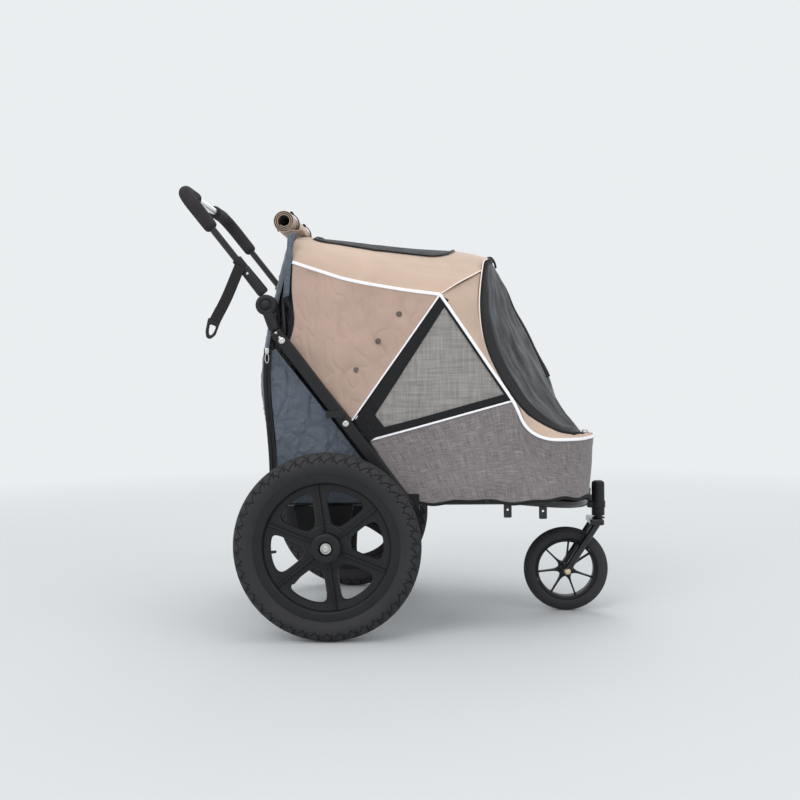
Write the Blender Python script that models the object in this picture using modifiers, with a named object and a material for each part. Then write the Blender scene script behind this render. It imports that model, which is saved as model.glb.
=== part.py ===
"""Pet stroller with two big rear wheels, a front caster, a folding frame and a fabric cabin.

Metres, +Z up, +X forward, +Y the stroller's left. The origin is on the floor below the middle of its length.
Each piece is its own object, and a piece that moves has its origin on its joint's axis.
"""

import math

import bmesh
import bpy
import numpy as np
from mathutils import Matrix, Vector

# ---------------------------------------------------------------- driving dimensions
AXLE_X = -0.152  # rear axle, from the origin; every other x below is measured from the axle

REAR_WHEEL_R = 0.203
REAR_WHEEL_Y = 0.280
CASTER_X = 0.5388
CASTER_R = 0.100
STEM_X = 0.617

CHASSIS_Z = 0.290  # centre of the lower tubes
CHASSIS_Y = 0.184
TUBE_R = 0.011
NOSE_X = 0.583  # centre of the lower tube at the nose

RAIL_Y = 0.216  # centre of the side rails and of the handle's legs
RAIL_WIDTH = 0.025
RAIL_THICK = 0.022
PIVOT = (0.169, 0.290)  # fold pivot of the side rails (x, z)
RAIL_ANGLE = math.radians(126.9)  # direction of the rails from +X

HOOP_Y = 0.183
HOOP_R = 0.008
CABIN_Y = 0.200  # outer half-width of the fabric cabin
FABRIC = 0.0024
SEAM = 0.0035  # the fabric panels stop this short of their shared seams
GAP = 0.0003  # between pieces that touch

KNUCKLE = (-0.133, 0.7255)
KNUCKLE_R = 0.0225
HANDLE_POINT = (-0.1886, 0.8151)
HANDLE_ANGLE = math.radians(127.8)
HANDLE_LENGTH = 0.212
HANDLE_R = 0.008
GRIP_R = 0.015
STRAP_Y = -0.2296

BLACK = (0.020, 0.020, 0.022)
MATERIALS = {
    "frame_black": (BLACK, 0.25, 0.0),
    "moulded_black": ((0.035, 0.035, 0.038), 0.5, 0.0),
    "steel": ((0.62, 0.62, 0.64), 0.3, 1.0),
    "rubber": ((0.035, 0.035, 0.038), 0.75, 0.0),
    "foam": ((0.045, 0.043, 0.045), 0.9, 0.0),
    "webbing": ((0.030, 0.030, 0.032), 0.85, 0.0),
    "board": ((0.05, 0.05, 0.055), 0.7, 0.0),
    "mat": ((0.18, 0.18, 0.19), 0.9, 0.0),
    "beige_cloth": ((0.52, 0.38, 0.31), 0.85, 0.0),
    "cream_cloth": ((0.74, 0.60, 0.47), 0.85, 0.0),
    "grey_cloth": ((0.25, 0.23, 0.23), 0.9, 0.0),
    "slate_cloth": ((0.075, 0.100, 0.130), 0.6, 0.0),
    "window_mesh": ((0.35, 0.34, 0.33), 0.8, 0.0),
    "dark_mesh": ((0.06, 0.065, 0.07), 0.7, 0.0),
}

SIDES = (("left", 1), ("right", -1))


# ---------------------------------------------------------------- scene and helpers
for old in list(bpy.data.objects):
    bpy.data.objects.remove(old, do_unlink=True)


def new_collection(name):
    collection = bpy.data.collections.new(name)
    bpy.context.scene.collection.children.link(collection)
    return collection


PARTS = new_collection("pet_stroller")
CUTTERS = new_collection("cutters")


def material(name):
    found = bpy.data.materials.get(name)
    if found:
        return found
    colour, roughness, metallic = MATERIALS[name]
    made = bpy.data.materials.new(name)
    made.use_nodes = True
    shader = made.node_tree.nodes["Principled BSDF"]
    shader.inputs["Base Color"].default_value = (*colour, 1.0)
    shader.inputs["Roughness"].default_value = roughness
    shader.inputs["Metallic"].default_value = metallic
    return made


def place(x, y, z):
    """A point given from the rear axle, as a world point."""
    return Vector((AXLE_X + x, y, z))


def add(name, data, finish, collection=PARTS):
    piece = bpy.data.objects.new(name, data)
    collection.objects.link(piece)
    if finish:
        data.materials.append(material(finish))
    return piece


def from_bmesh(name, bm, finish, collection=PARTS, smooth=False):
    mesh = bpy.data.meshes.new(name)
    bm.to_mesh(mesh)
    bm.free()
    if smooth:
        mesh.shade_smooth()
        mesh.set_sharp_from_angle(angle=math.radians(35))
    return add(name, mesh, finish, collection)


def as_cutter(piece):
    PARTS.objects.unlink(piece)
    CUTTERS.objects.link(piece)
    piece.hide_render = True
    piece.display_type = "WIRE"
    return piece


def boolean(piece, other, operation):
    """Joins another shape to a piece, or cuts it away; the other shape is kept as a hidden guide."""
    as_cutter(other)
    modifier = piece.modifiers.new(operation.lower(), "BOOLEAN")
    modifier.operation = operation
    modifier.object = other
    return piece


def box(name, low, high, finish, bevel=0.0):
    """A box between two corners given from the rear axle, with rounded edges if asked."""
    low, high = place(*low), place(*high)
    bm = bmesh.new()
    bmesh.ops.create_cube(bm, size=1.0)
    middle, size = (low + high) / 2, high - low
    bmesh.ops.scale(bm, vec=size, verts=bm.verts)
    piece = from_bmesh(name, bm, finish)
    piece.location = middle
    if bevel:
        modifier = piece.modifiers.new("edges", "BEVEL")
        modifier.width = bevel
        modifier.segments = 2
    return piece


def rod(name, start, end, radius, finish, segments=24, end_radius=None):
    """A round bar between two points given from the rear axle."""
    start, end = place(*start), place(*end)
    bm = bmesh.new()
    bmesh.ops.create_cone(
        bm,
        cap_ends=True,
        segments=segments,
        radius1=radius,
        radius2=radius if end_radius is None else end_radius,
        depth=(end - start).length,
    )
    piece = from_bmesh(name, bm, finish, smooth=True)
    piece.location = (start + end) / 2
    piece.rotation_euler = (end - start).to_track_quat("Z", "Y").to_euler()
    return piece


def turned(name, profile, centre, axis, finish, steps=32, closed=True):
    """A turned piece: (radius, height) pairs down the outer side and back up the inner one, about an axis."""
    points = [(r, 0.0, h) for r, h in profile]
    count = len(points)
    edges = [(i, (i + 1) % count) for i in range(count if closed else count - 1)]
    mesh = bpy.data.meshes.new(name)
    mesh.from_pydata(points, edges, [])
    piece = add(name, mesh, finish)
    piece.location = place(*centre)
    piece.rotation_euler = Vector(axis).to_track_quat("Z", "Y").to_euler()
    screw = piece.modifiers.new("turn", "SCREW")
    screw.steps = steps
    screw.render_steps = steps
    screw.use_merge_vertices = True
    screw.merge_threshold = 0.0001
    return piece


def rounded_path(corners, radii, steps=4):
    """A path through corners, each rounded by an arc of its own radius, as a list of points."""
    corners = [Vector(c) for c in corners]
    path = [corners[0]]
    for before, corner, after, radius in zip(corners, corners[1:], corners[2:], radii):
        into, out = (before - corner).normalized(), (after - corner).normalized()
        half = into.angle(out) / 2
        reach = radius / math.tan(half)
        centre = corner + (into + out).normalized() * (radius / math.sin(half))
        start = corner + into * reach - centre
        end = corner + out * reach - centre
        axis, angle = start.cross(end).normalized(), start.angle(end)
        for i in range(steps + 1):
            path.append(centre + Matrix.Rotation(angle * i / steps, 3, axis) @ start)
    path.append(corners[-1])
    return path


def tube(name, path, radius, finish, sides=10):
    """A bent round tube along points given from the rear axle."""
    curve = bpy.data.curves.new(name, "CURVE")
    curve.dimensions = "3D"
    curve.bevel_depth = radius
    curve.bevel_resolution = (sides - 4) // 2
    curve.use_fill_caps = True
    spline = curve.splines.new("POLY")
    spline.points.add(len(path) - 1)
    for point, where in zip(spline.points, path):
        point.co = (*place(*where), 1.0)
    return add(name, curve, finish)


def meshed(piece):
    """A curve turned into a closed mesh, so that it can be cut or joined."""
    evaluated = piece.evaluated_get(bpy.context.evaluated_depsgraph_get())
    mesh = bpy.data.meshes.new_from_object(evaluated)
    bm = bmesh.new()
    bm.from_mesh(mesh)
    bmesh.ops.remove_doubles(bm, verts=bm.verts, dist=1e-6)
    bm.to_mesh(mesh)
    bm.free()
    name, matrix = piece.name, piece.matrix_world.copy()
    finish = piece.data.materials[0] if piece.data.materials else None
    bpy.data.objects.remove(piece, do_unlink=True)
    solid = bpy.data.objects.new(name, mesh)
    PARTS.objects.link(solid)
    solid.matrix_world = matrix
    if finish and not mesh.materials:
        mesh.materials.append(finish)
    return solid


def plate(name, outlines, y, thickness, finish):
    """A flat plate standing in the XZ plane, centred on y: the first outline is its edge, the rest its holes."""
    curve = bpy.data.curves.new(name, "CURVE")
    curve.dimensions = "2D"
    curve.fill_mode = "BOTH"
    curve.extrude = thickness / 2
    for outline in outlines:
        spline = curve.splines.new("POLY")
        spline.points.add(len(outline) - 1)
        spline.use_cyclic_u = True
        for point, (x, z) in zip(spline.points, outline):
            point.co = (x, z, 0.0, 1.0)
    piece = add(name, curve, finish)
    piece.location = (AXLE_X, y, 0.0)
    piece.rotation_euler = (math.radians(90), 0.0, 0.0)
    bpy.context.view_layer.update()
    return meshed(piece)


def circle(x, z, radius, count=20, phase=0.0):
    angles = [phase + math.tau * i / count for i in range(count)]
    return [(x + radius * math.cos(a), z + radius * math.sin(a)) for a in angles]


def move_origin(piece, x, y, z):
    """Puts a piece's origin on its joint's axis and leaves its shape where it is.

    A turned piece keeps its own origin, which its Screw turns about, and hangs from an empty on the joint's axis.
    """
    bpy.context.view_layer.update()
    if any(m.type == "SCREW" for m in piece.modifiers):
        axle = bpy.data.objects.new(f"joint_{piece.name}", None)
        PARTS.objects.link(axle)
        axle.location = place(x, y, z)
        piece.parent = axle
        piece.matrix_parent_inverse = Matrix.Translation(-place(x, y, z))
        return
    target = place(x, y, z)
    local = piece.matrix_world.inverted() @ target
    piece.data.transform(Matrix.Translation(-local))
    piece.matrix_world = piece.matrix_world @ Matrix.Translation(local)


def along(angle, distance, start=PIVOT):
    """The (x, z) point at a distance from a start, in a direction measured from +X towards +Z."""
    return start[0] + distance * math.cos(angle), start[1] + distance * math.sin(angle)


# ---------------------------------------------------------------- fabric surfaces
def spline_through(points, count):
    """Points at equal steps along a smooth curve through the given ones."""
    knots = np.array(points, float)
    ends = np.vstack([2 * knots[0] - knots[1], knots, 2 * knots[-1] - knots[-2]])
    fine = []
    for i in range(len(knots) - 1):
        a, b, c, d = ends[i : i + 4]
        t = np.linspace(0, 1, 12, endpoint=i == len(knots) - 2)[:, None]
        fine.append(
            0.5
            * (2 * b + (c - a) * t + (2 * a - 5 * b + 4 * c - d) * t**2 + (3 * b - a - 3 * c + d) * t**3)
        )
    fine = np.vstack(fine)
    length = np.r_[0, np.cumsum(np.linalg.norm(np.diff(fine, axis=0), axis=1))]
    wanted = np.linspace(0, length[-1], count)
    return np.stack([np.interp(wanted, length, fine[:, k]) for k in range(3)], axis=1)


def between_four(bottom, top, left, right):
    """The Coons surface between four edges sampled as points: bottom and top along u, left and right along v."""
    u = np.linspace(0, 1, len(bottom))[:, None, None]
    v = np.linspace(0, 1, len(left))[None, :, None]
    ruled_v = (1 - v) * bottom[:, None] + v * top[:, None]
    ruled_u = (1 - u) * left[None] + u * right[None]
    corners = (
        (1 - u) * (1 - v) * bottom[0] + u * (1 - v) * bottom[-1] + (1 - u) * v * top[0] + u * v * top[-1]
    )
    return ruled_v + ruled_u - corners


def pull_in(grid, amount, ends=True):
    """Moves the rim of a grid of points inwards, so that neighbouring panels don't meet."""
    inner = grid.copy()
    pairs = [(np.s_[:, 0], np.s_[:, 1]), (np.s_[:, -1], np.s_[:, -2])]
    if ends:
        pairs += [(np.s_[0, :], np.s_[1, :]), (np.s_[-1, :], np.s_[-2, :])]
    for rim, inside in pairs:
        step = inner[inside] - inner[rim]
        length = np.linalg.norm(step, axis=-1, keepdims=True)
        inner[rim] += step * np.minimum(amount / np.maximum(length, 1e-6), 0.9)
    return inner


def cloth(name, grid, finish, outward, keep=None):
    """A thin closed panel on a grid of points; keep says which of the grid's cells have cloth."""
    rows, columns = grid.shape[:2]
    index = np.arange(rows * columns).reshape(rows, columns)
    quads = np.stack([index[:-1, :-1], index[1:, :-1], index[1:, 1:], index[:-1, 1:]], axis=-1)
    wanted = np.ones((rows - 1, columns - 1), bool) if keep is None else keep
    points = grid.reshape(-1, 3) + np.array([AXLE_X, 0.0, 0.0])
    mesh = bpy.data.meshes.new(name)
    mesh.from_pydata(points.tolist(), [], quads[wanted].tolist())
    bm = bmesh.new()
    bm.from_mesh(mesh)
    loose = [v for v in bm.verts if not v.link_faces]
    bmesh.ops.delete(bm, geom=loose, context="VERTS")
    total = sum((f.normal * f.calc_area() for f in bm.faces), Vector())
    if total.dot(Vector(outward)) < 0:
        bmesh.ops.reverse_faces(bm, faces=bm.faces)
    bm.to_mesh(mesh)
    bm.free()
    mesh.shade_smooth()
    piece = add(name, mesh, finish)
    thickness = piece.modifiers.new("cloth", "SOLIDIFY")
    thickness.thickness = FABRIC
    thickness.offset = -1.0
    return piece


def mirrored(points):
    """A half outline on the left side, run on over the middle to its mirror image on the right."""
    return list(points) + [(x, -y, z) for x, y, z in reversed(points[:-1])]


# Edges of the fabric panels on the left side, from the axle. Panels that meet share an edge.
ROOF_REAR = (-0.078, 0.197, 0.821)
APEX = (0.2473, 0.200, 0.7444)
RAIL_TOP_CORNER = (-0.088, CABIN_Y, 0.643)
RAIL_LOW_CORNER = (0.050, CABIN_Y, 0.470)
BAND_REAR = (0.086, CABIN_Y, 0.4245)
BAND_FRONT = (0.4038, CABIN_Y, 0.509)
ROOF_SIDE = [ROOF_REAR, (-0.016, 0.199, 0.7996), (0.050, CABIN_Y, 0.7787), (0.160, CABIN_Y, 0.7572), APEX]
FRONT_SEAM = [APEX, (0.290, 0.165, 0.773), (0.340, 0.112, 0.803)]
ROOF_FRONT = FRONT_SEAM + [(0.359, 0.060, 0.832), (0.3665, 0.0, 0.843)]
ROOF_BACK = [
    ROOF_REAR, (-0.080, 0.184, 0.852), (-0.078, 0.150, 0.876), (-0.075, 0.080, 0.893), (-0.074, 0.0, 0.899)
]
ROOF_MIDDLE = [
    (-0.074, 0.0, 0.899), (0.05, 0.0, 0.892), (0.18, 0.0, 0.876), (0.301, 0.0, 0.858), (0.3665, 0.0, 0.843)
]
PIPING = [
    APEX,
    (0.300, CABIN_Y, 0.666),
    (0.352, CABIN_Y, 0.587),
    BAND_FRONT,
    (0.434, CABIN_Y, 0.450),
    (0.478, 0.192, 0.4245),
    (0.545, 0.150, 0.4195),
    (0.590, 0.080, 0.4200),
    (0.6086, 0.0, 0.4214),
]
DOOR_EDGE = [
    (0.340, 0.112, 0.800),
    (0.336, 0.143, 0.720),
    (0.348, 0.152, 0.630),
    (0.385, 0.151, 0.550),
    (0.430, 0.145, 0.488),
    (0.475, 0.128, 0.452),
    (0.525, 0.095, 0.4305),
    (0.565, 0.050, 0.4245),
    (0.5826, 0.0, 0.4240),
]
DOOR_MIDDLE = [
    (0.367, 0.0, 0.837),
    (0.393, 0.0, 0.785),
    (0.4237, 0.0, 0.7195),
    (0.482, 0.0, 0.5995),
    (0.5286, 0.0, 0.4915),
    (0.5638, 0.0, 0.4434),
    (0.5826, 0.0, 0.4240),
]
BAND_TOP = [BAND_REAR, (0.190, CABIN_Y, 0.4518), (0.300, CABIN_Y, 0.4812), BAND_FRONT] + PIPING[4:]
BAND_BOTTOM = [
    (0.176, CABIN_Y, 0.2845),
    (0.240, CABIN_Y, 0.2845),
    (0.330, CABIN_Y, 0.2845),
    (0.405, CABIN_Y, 0.2845),
    (0.445, 0.199, 0.2845),
    (0.490, 0.185, 0.2845),
    (0.545, 0.145, 0.2845),
    (0.583, 0.078, 0.2845),
    (0.598, 0.0, 0.2845),
]
BACK_LINE = [
    (-0.137, 0.286),
    (-0.139, 0.390),
    (-0.157, 0.540),
    (-0.150, 0.640),
    (-0.126, 0.745),
    (-0.096, 0.850),
    (-0.089, 0.886),
]
BACK_CORNER = [(0.0, 0.0), (0.100, 0.001), (0.176, 0.004), (0.192, 0.009), (0.1995, 0.018)]  # (y, step forward)


# ---------------------------------------------------------------- chassis
def build_chassis():
    quarter = [math.radians(a) for a in range(0, 91, 18)]
    nose = [
        (0.400 + (NOSE_X - 0.400) * math.sin(a) ** 0.9, CHASSIS_Y * math.cos(a) ** 0.9) for a in quarter
    ]
    drop = [CHASSIS_Z - 0.022 * math.sin(a) for a in quarter]
    left = [(-0.112, CHASSIS_Y, CHASSIS_Z), (0.200, CHASSIS_Y, CHASSIS_Z)]
    left += [(x, y, z) for (x, y), z in zip(nose, drop)]
    hoop = meshed(tube("chassis_tube", mirrored(left), TUBE_R, "frame_black"))
    lug = box("head_lug", (NOSE_X, -0.012, 0.2630), (STEM_X - 0.0155, 0.012, 0.2775), None)
    boolean(hoop, lug, "UNION")

    rod(
        "rear_cross_tube",
        (-0.100, -0.1725, CHASSIS_Z),
        (-0.100, 0.1725, CHASSIS_Z),
        0.009,
        "frame_black",
        16,
    )

    head = turned(
        "head_tube",
        [
            (0.0, 0.311),
            (0.010, 0.3095),
            (0.015, 0.303),
            (0.015, 0.2275),
            (0.0105, 0.2275),
            (0.0105, 0.298),
            (0.0, 0.298),
        ],
        (STEM_X, 0.0, 0.0),
        (0, 0, 1),
        "frame_black",
        24,
        closed=False,
    )
    clamp = turned(
        "head_clamp",
        [(0.0168, 0.262), (0.0168, 0.246), (0.0125, 0.246), (0.0125, 0.262)],
        (STEM_X, 0.0, 0.0),
        (0, 0, 1),
        None,
        24,
    )
    boolean(head, clamp, "UNION")

    box("floor_board", (-0.118, -0.165, 0.3015), (0.470, 0.165, 0.3065), "board", 0.002)
    mat = box("floor_mat", (-0.112, -0.160, 0.3070), (0.462, 0.160, 0.3250), "mat", 0.007)
    mat.modifiers["edges"].segments = 3

    beam = rod("axle_beam", (0, -0.2360, REAR_WHEEL_R), (0, 0.2360, REAR_WHEEL_R), 0.011, "frame_black", 20)
    for side, sign in SIDES:
        guide = box(
            f"pin_guide_{side}",
            (-0.008, min(sign * 0.222, sign * 0.236), REAR_WHEEL_R - 0.043),
            (0.008, max(sign * 0.222, sign * 0.236), REAR_WHEEL_R - 0.004),
            None,
        )
        boolean(beam, guide, "UNION")
    for side, sign in SIDES:
        bore = rod(
            f"pin_bore_{side}",
            (0, sign * 0.215, REAR_WHEEL_R - BRAKE_PIN_R),
            (0, sign * 0.245, REAR_WHEEL_R - BRAKE_PIN_R),
            0.0034,
            None,
            16,
        )
        boolean(beam, bore, "DIFFERENCE")

    for side, sign in SIDES:
        outline = [
            (-0.085, 0.2785),
            (-0.075, 0.226),
            (-0.016, 0.184),
            (0.016, 0.184),
            (0.040, 0.226),
            (0.048, 0.2785),
        ]
        plate(
            f"axle_bracket_{side}",
            [outline, circle(0, REAR_WHEEL_R, 0.0114)],
            sign * CHASSIS_Y,
            0.005,
            "frame_black",
        )
        turned(
            f"axle_pin_{side}",
            [
                (0.0, 0.3125),
                (0.0060, 0.3125),
                (0.0080, 0.3105),
                (0.0080, 0.3037),
                (0.0115, 0.3037),
                (0.0115, 0.3004),
                (0.0060, 0.3004),
                (0.0060, 0.2363),
                (0.0, 0.2363),
            ],
            (0, 0, REAR_WHEEL_R),
            (0, sign, 0),
            "steel",
            20,
            closed=False,
        )
        bracket = box(
            f"pivot_bracket_{side}",
            (0.150, min(sign * 0.2010, sign * 0.2043), 0.2700),
            (0.196, max(sign * 0.2010, sign * 0.2043), 0.3060),
            "frame_black",
        )
        foot = box(
            f"pivot_foot_{side}",
            (0.150, min(sign * 0.178, sign * 0.2040), 0.2700),
            (0.196, max(sign * 0.178, sign * 0.2040), 0.2787),
            None,
        )
        boolean(bracket, foot, "UNION")
        bolt = rod(
            f"pivot_bolt_{side}",
            (PIVOT[0], sign * 0.2030, PIVOT[1]),
            (PIVOT[0], sign * 0.2310, PIVOT[1]),
            0.0040,
            None,
            16,
        )
        boolean(bracket, bolt, "UNION")
        head_of_bolt = rod(
            f"pivot_head_{side}",
            (PIVOT[0], sign * 0.2275, PIVOT[1]),
            (PIVOT[0], sign * 0.2320, PIVOT[1]),
            0.0075,
            None,
            16,
        )
        boolean(bracket, head_of_bolt, "UNION")

    for side, sign in SIDES:
        for where, x, y, low in (("rear", 0.3913, CHASSIS_Y, 0.2498), ("front", 0.4699, 0.1745, 0.2451)):
            top = CHASSIS_Z - 0.006
            outline = [(x - 0.0088, top), (x - 0.0088, low), (x + 0.0088, low), (x + 0.0088, top)]
            hole = circle(x, low + 0.0175, 0.0026, 12)
            bracket = plate(f"tow_bracket_{where}_{side}", [outline, hole], sign * y, 0.003, "frame_black")
            boolean(hoop, bracket, "UNION")


# ---------------------------------------------------------------- brake
BRAKE_PIN_R = 0.0335  # distance of the brake pins below the axle
BRAKE_TEETH = 12


def build_brake():
    pedal = turned(
        "brake_pedal",
        [(0.0170, 0.014), (0.0170, -0.014), (0.0114, -0.014), (0.0114, 0.014)],
        (0, 0, REAR_WHEEL_R),
        (0, 1, 0),
        "moulded_black",
        20,
    )
    arm = box(
        "pedal_arm", (-0.104, -0.010, REAR_WHEEL_R - 0.006), (-0.0135, 0.010, REAR_WHEEL_R + 0.006), None
    )
    pad = box(
        "pedal_pad",
        (-0.178, -0.033, REAR_WHEEL_R - 0.006),
        (-0.100, 0.033, REAR_WHEEL_R + 0.007),
        None,
        0.004,
    )
    turn = Matrix.Rotation(math.radians(-48), 4, "Y")
    about = Matrix.Translation(place(0, 0, REAR_WHEEL_R)) @ turn @ Matrix.Translation(
        -place(0, 0, REAR_WHEEL_R)
    )
    bpy.context.view_layer.update()
    for piece in (arm, pad):
        piece.matrix_world = about @ piece.matrix_world
        boolean(pedal, piece, "UNION")

    for side, sign in SIDES:
        rod(
            f"brake_pin_{side}",
            (0, sign * 0.2120, REAR_WHEEL_R - BRAKE_PIN_R),
            (0, sign * 0.2480, REAR_WHEEL_R - BRAKE_PIN_R),
            0.0030,
            "steel",
            12,
        )


# ---------------------------------------------------------------- rear wheels
def build_rear_wheel(side, sign):
    centre = (0, sign * REAR_WHEEL_Y, REAR_WHEEL_R)
    out = (0, sign, 0)
    crown = [
        (0.176 + 0.027 * math.cos(a), 0.0262 * math.sin(a)) for a in [
            math.radians(d) for d in range(72, -73, -24)
        ]
    ]
    turned(
        f"tyre_{side}",
        [(0.158, 0.0155), (0.1655, 0.0215)] + crown + [
            (0.1655, -0.0215), (0.158, -0.0155), (0.1535, -0.0150), (0.1535, 0.0150)
        ],
        centre,
        out,
        "rubber",
        36,
    )
    rim = turned(
        f"rim_{side}",
        [
            (0.1580, 0.0180),
            (0.1580, 0.0158),
            (0.1531, 0.0155),
            (0.1531, -0.0155),
            (0.1580, -0.0158),
            (0.1580, -0.0180),
            (0.1375, -0.0165),
            (0.1350, -0.0070),
            (0.1230, -0.0060),
            (0.1230, 0.0060),
            (0.1350, 0.0070),
            (0.1375, 0.0165),
        ],
        centre,
        out,
        "moulded_black",
        36,
    )
    hub = turned(
        f"hub_{side}",
        [
            (0.0150, 0.0200),
            (0.0150, 0.0295),
            (0.0290, 0.0300),
            (0.0330, 0.0260),
            (0.0330, 0.0060),
            (0.0490, 0.0060),
            (0.0490, -0.0060),
            (0.0270, -0.0080),
            (0.0240, -0.0240),
            (0.0064, -0.0240),
            (0.0064, 0.0200),
        ],
        centre,
        out,
        None,
        20,
    )
    boolean(rim, hub, "UNION")
    phase = 98 if sign < 0 else 87
    for k in range(6):
        angle = math.radians(phase + 60 * k)
        turn = Matrix.Rotation(-angle, 4, "Y")
        for label, inner, outer, width, thick in (
            ("web", 0.040, 0.1250, 0.031, 0.0110), ("rib", 0.031, 0.1360, 0.0045, 0.0240)
        ):
            bm = bmesh.new()
            bmesh.ops.create_cube(bm, size=1.0)
            bmesh.ops.scale(bm, vec=(outer - inner, thick, width), verts=bm.verts)
            bmesh.ops.translate(bm, vec=((outer + inner) / 2, 0, 0), verts=bm.verts)
            spoke = from_bmesh(f"spoke_{label}_{side}_{k}", bm, None)
            spoke.matrix_world = Matrix.Translation(place(*centre)) @ turn
            boolean(rim, spoke, "UNION")

    teeth = []
    for k in range(BRAKE_TEETH):
        for share, radius in ((-0.24, 0.0385), (0.24, 0.0385), (0.30, 0.0285), (0.70, 0.0285)):
            a = math.radians(-75) + math.tau * (k + share) / BRAKE_TEETH
            teeth.append((radius * math.cos(a), REAR_WHEEL_R + radius * math.sin(a)))
    plate(
        f"brake_ring_{side}",
        [teeth, circle(0, REAR_WHEEL_R, 0.0068)],
        sign * 0.2527,
        0.0060,
        "steel",
    )


# ---------------------------------------------------------------- front caster
def build_caster():
    fork = turned(
        "caster_fork",
        [
            (0.0, 0.2955),
            (0.0095, 0.2955),
            (0.0095, 0.2245),
            (0.0160, 0.2245),
            (0.0160, 0.2200),
            (0.0, 0.2200),
        ],
        (STEM_X, 0.0, 0.0),
        (0, 0, 1),
        "frame_black",
        20,
        closed=False,
    )
    crown = box(
        "fork_crown", (STEM_X - 0.024, -0.042, 0.2085), (STEM_X + 0.012, 0.042, 0.2225), None, 0.004
    )
    boolean(fork, crown, "UNION")
    for side, sign in SIDES:
        leg = rod(
            f"fork_leg_{side}",
            (STEM_X - 0.003, sign * 0.0335, 0.2190),
            (CASTER_X - 0.006, sign * 0.0335, CASTER_R - 0.008),
            0.0085,
            None,
            16,
        )
        boolean(fork, leg, "UNION")
    bore = rod("axle_bore", (CASTER_X, -0.06, CASTER_R), (CASTER_X, 0.06, CASTER_R), 0.0044, None, 16)
    boolean(fork, bore, "DIFFERENCE")

    bolt = rod(
        "front_axle_bolt", (CASTER_X, -0.0475, CASTER_R), (CASTER_X, 0.0475, CASTER_R), 0.0040, "steel", 16
    )
    for side, sign in SIDES:
        head = rod(
            f"axle_nut_{side}",
            (CASTER_X, sign * 0.0426, CASTER_R),
            (CASTER_X, sign * 0.0480, CASTER_R),
            0.0070,
            None,
            6 if sign > 0 else 16,
        )
        boolean(bolt, head, "UNION")

    turned(
        "front_tyre",
        [
            (0.0780 + 0.022 * math.cos(a), 0.0190 * math.sin(a))
            for a in [math.radians(d) for d in range(90, -91, -36)]
        ]
        + [(0.0720, -0.0150), (0.0720, 0.0150)],
        (CASTER_X, 0, CASTER_R),
        (0, 1, 0),
        "rubber",
        30,
    )
    rim = turned(
        "front_rim",
        [(0.0717, 0.0150), (0.0717, -0.0150), (0.0660, -0.0150), (0.0660, 0.0150)],
        (CASTER_X, 0, CASTER_R),
        (0, 1, 0),
        "moulded_black",
        30,
    )
    hub = turned(
        "front_hub",
        [
            (0.0130, 0.0240),
            (0.0155, 0.0120),
            (0.0155, -0.0120),
            (0.0130, -0.0240),
            (0.0044, -0.0240),
            (0.0044, 0.0240),
        ],
        (CASTER_X, 0, CASTER_R),
        (0, 1, 0),
        None,
        20,
    )
    boolean(rim, hub, "UNION")
    for k in range(7):
        turn = Matrix.Rotation(-math.radians(-19 + 360 / 7 * k), 4, "Y")
        bm = bmesh.new()
        bmesh.ops.create_cube(bm, size=1.0)
        bmesh.ops.scale(bm, vec=(0.057, 0.014, 0.0048), verts=bm.verts)
        for vertex in bm.verts:
            if vertex.co.x < 0:
                vertex.co.z *= 2.0
        bmesh.ops.translate(bm, vec=(0.0395, 0, 0), verts=bm.verts)
        spoke = from_bmesh(f"front_spoke_{k}", bm, None)
        spoke.matrix_world = Matrix.Translation(place(CASTER_X, 0, CASTER_R)) @ turn
        boolean(rim, spoke, "UNION")


# ---------------------------------------------------------------- folding frame
REAR_HINGE = along(RAIL_ANGLE, 0.4465)  # rear hoop's pivot on the rails
FRONT_HINGE = along(RAIL_ANGLE, 0.2173)  # front hoop's pivot on the rails
LATCH = along(RAIL_ANGLE, 0.2450)


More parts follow.
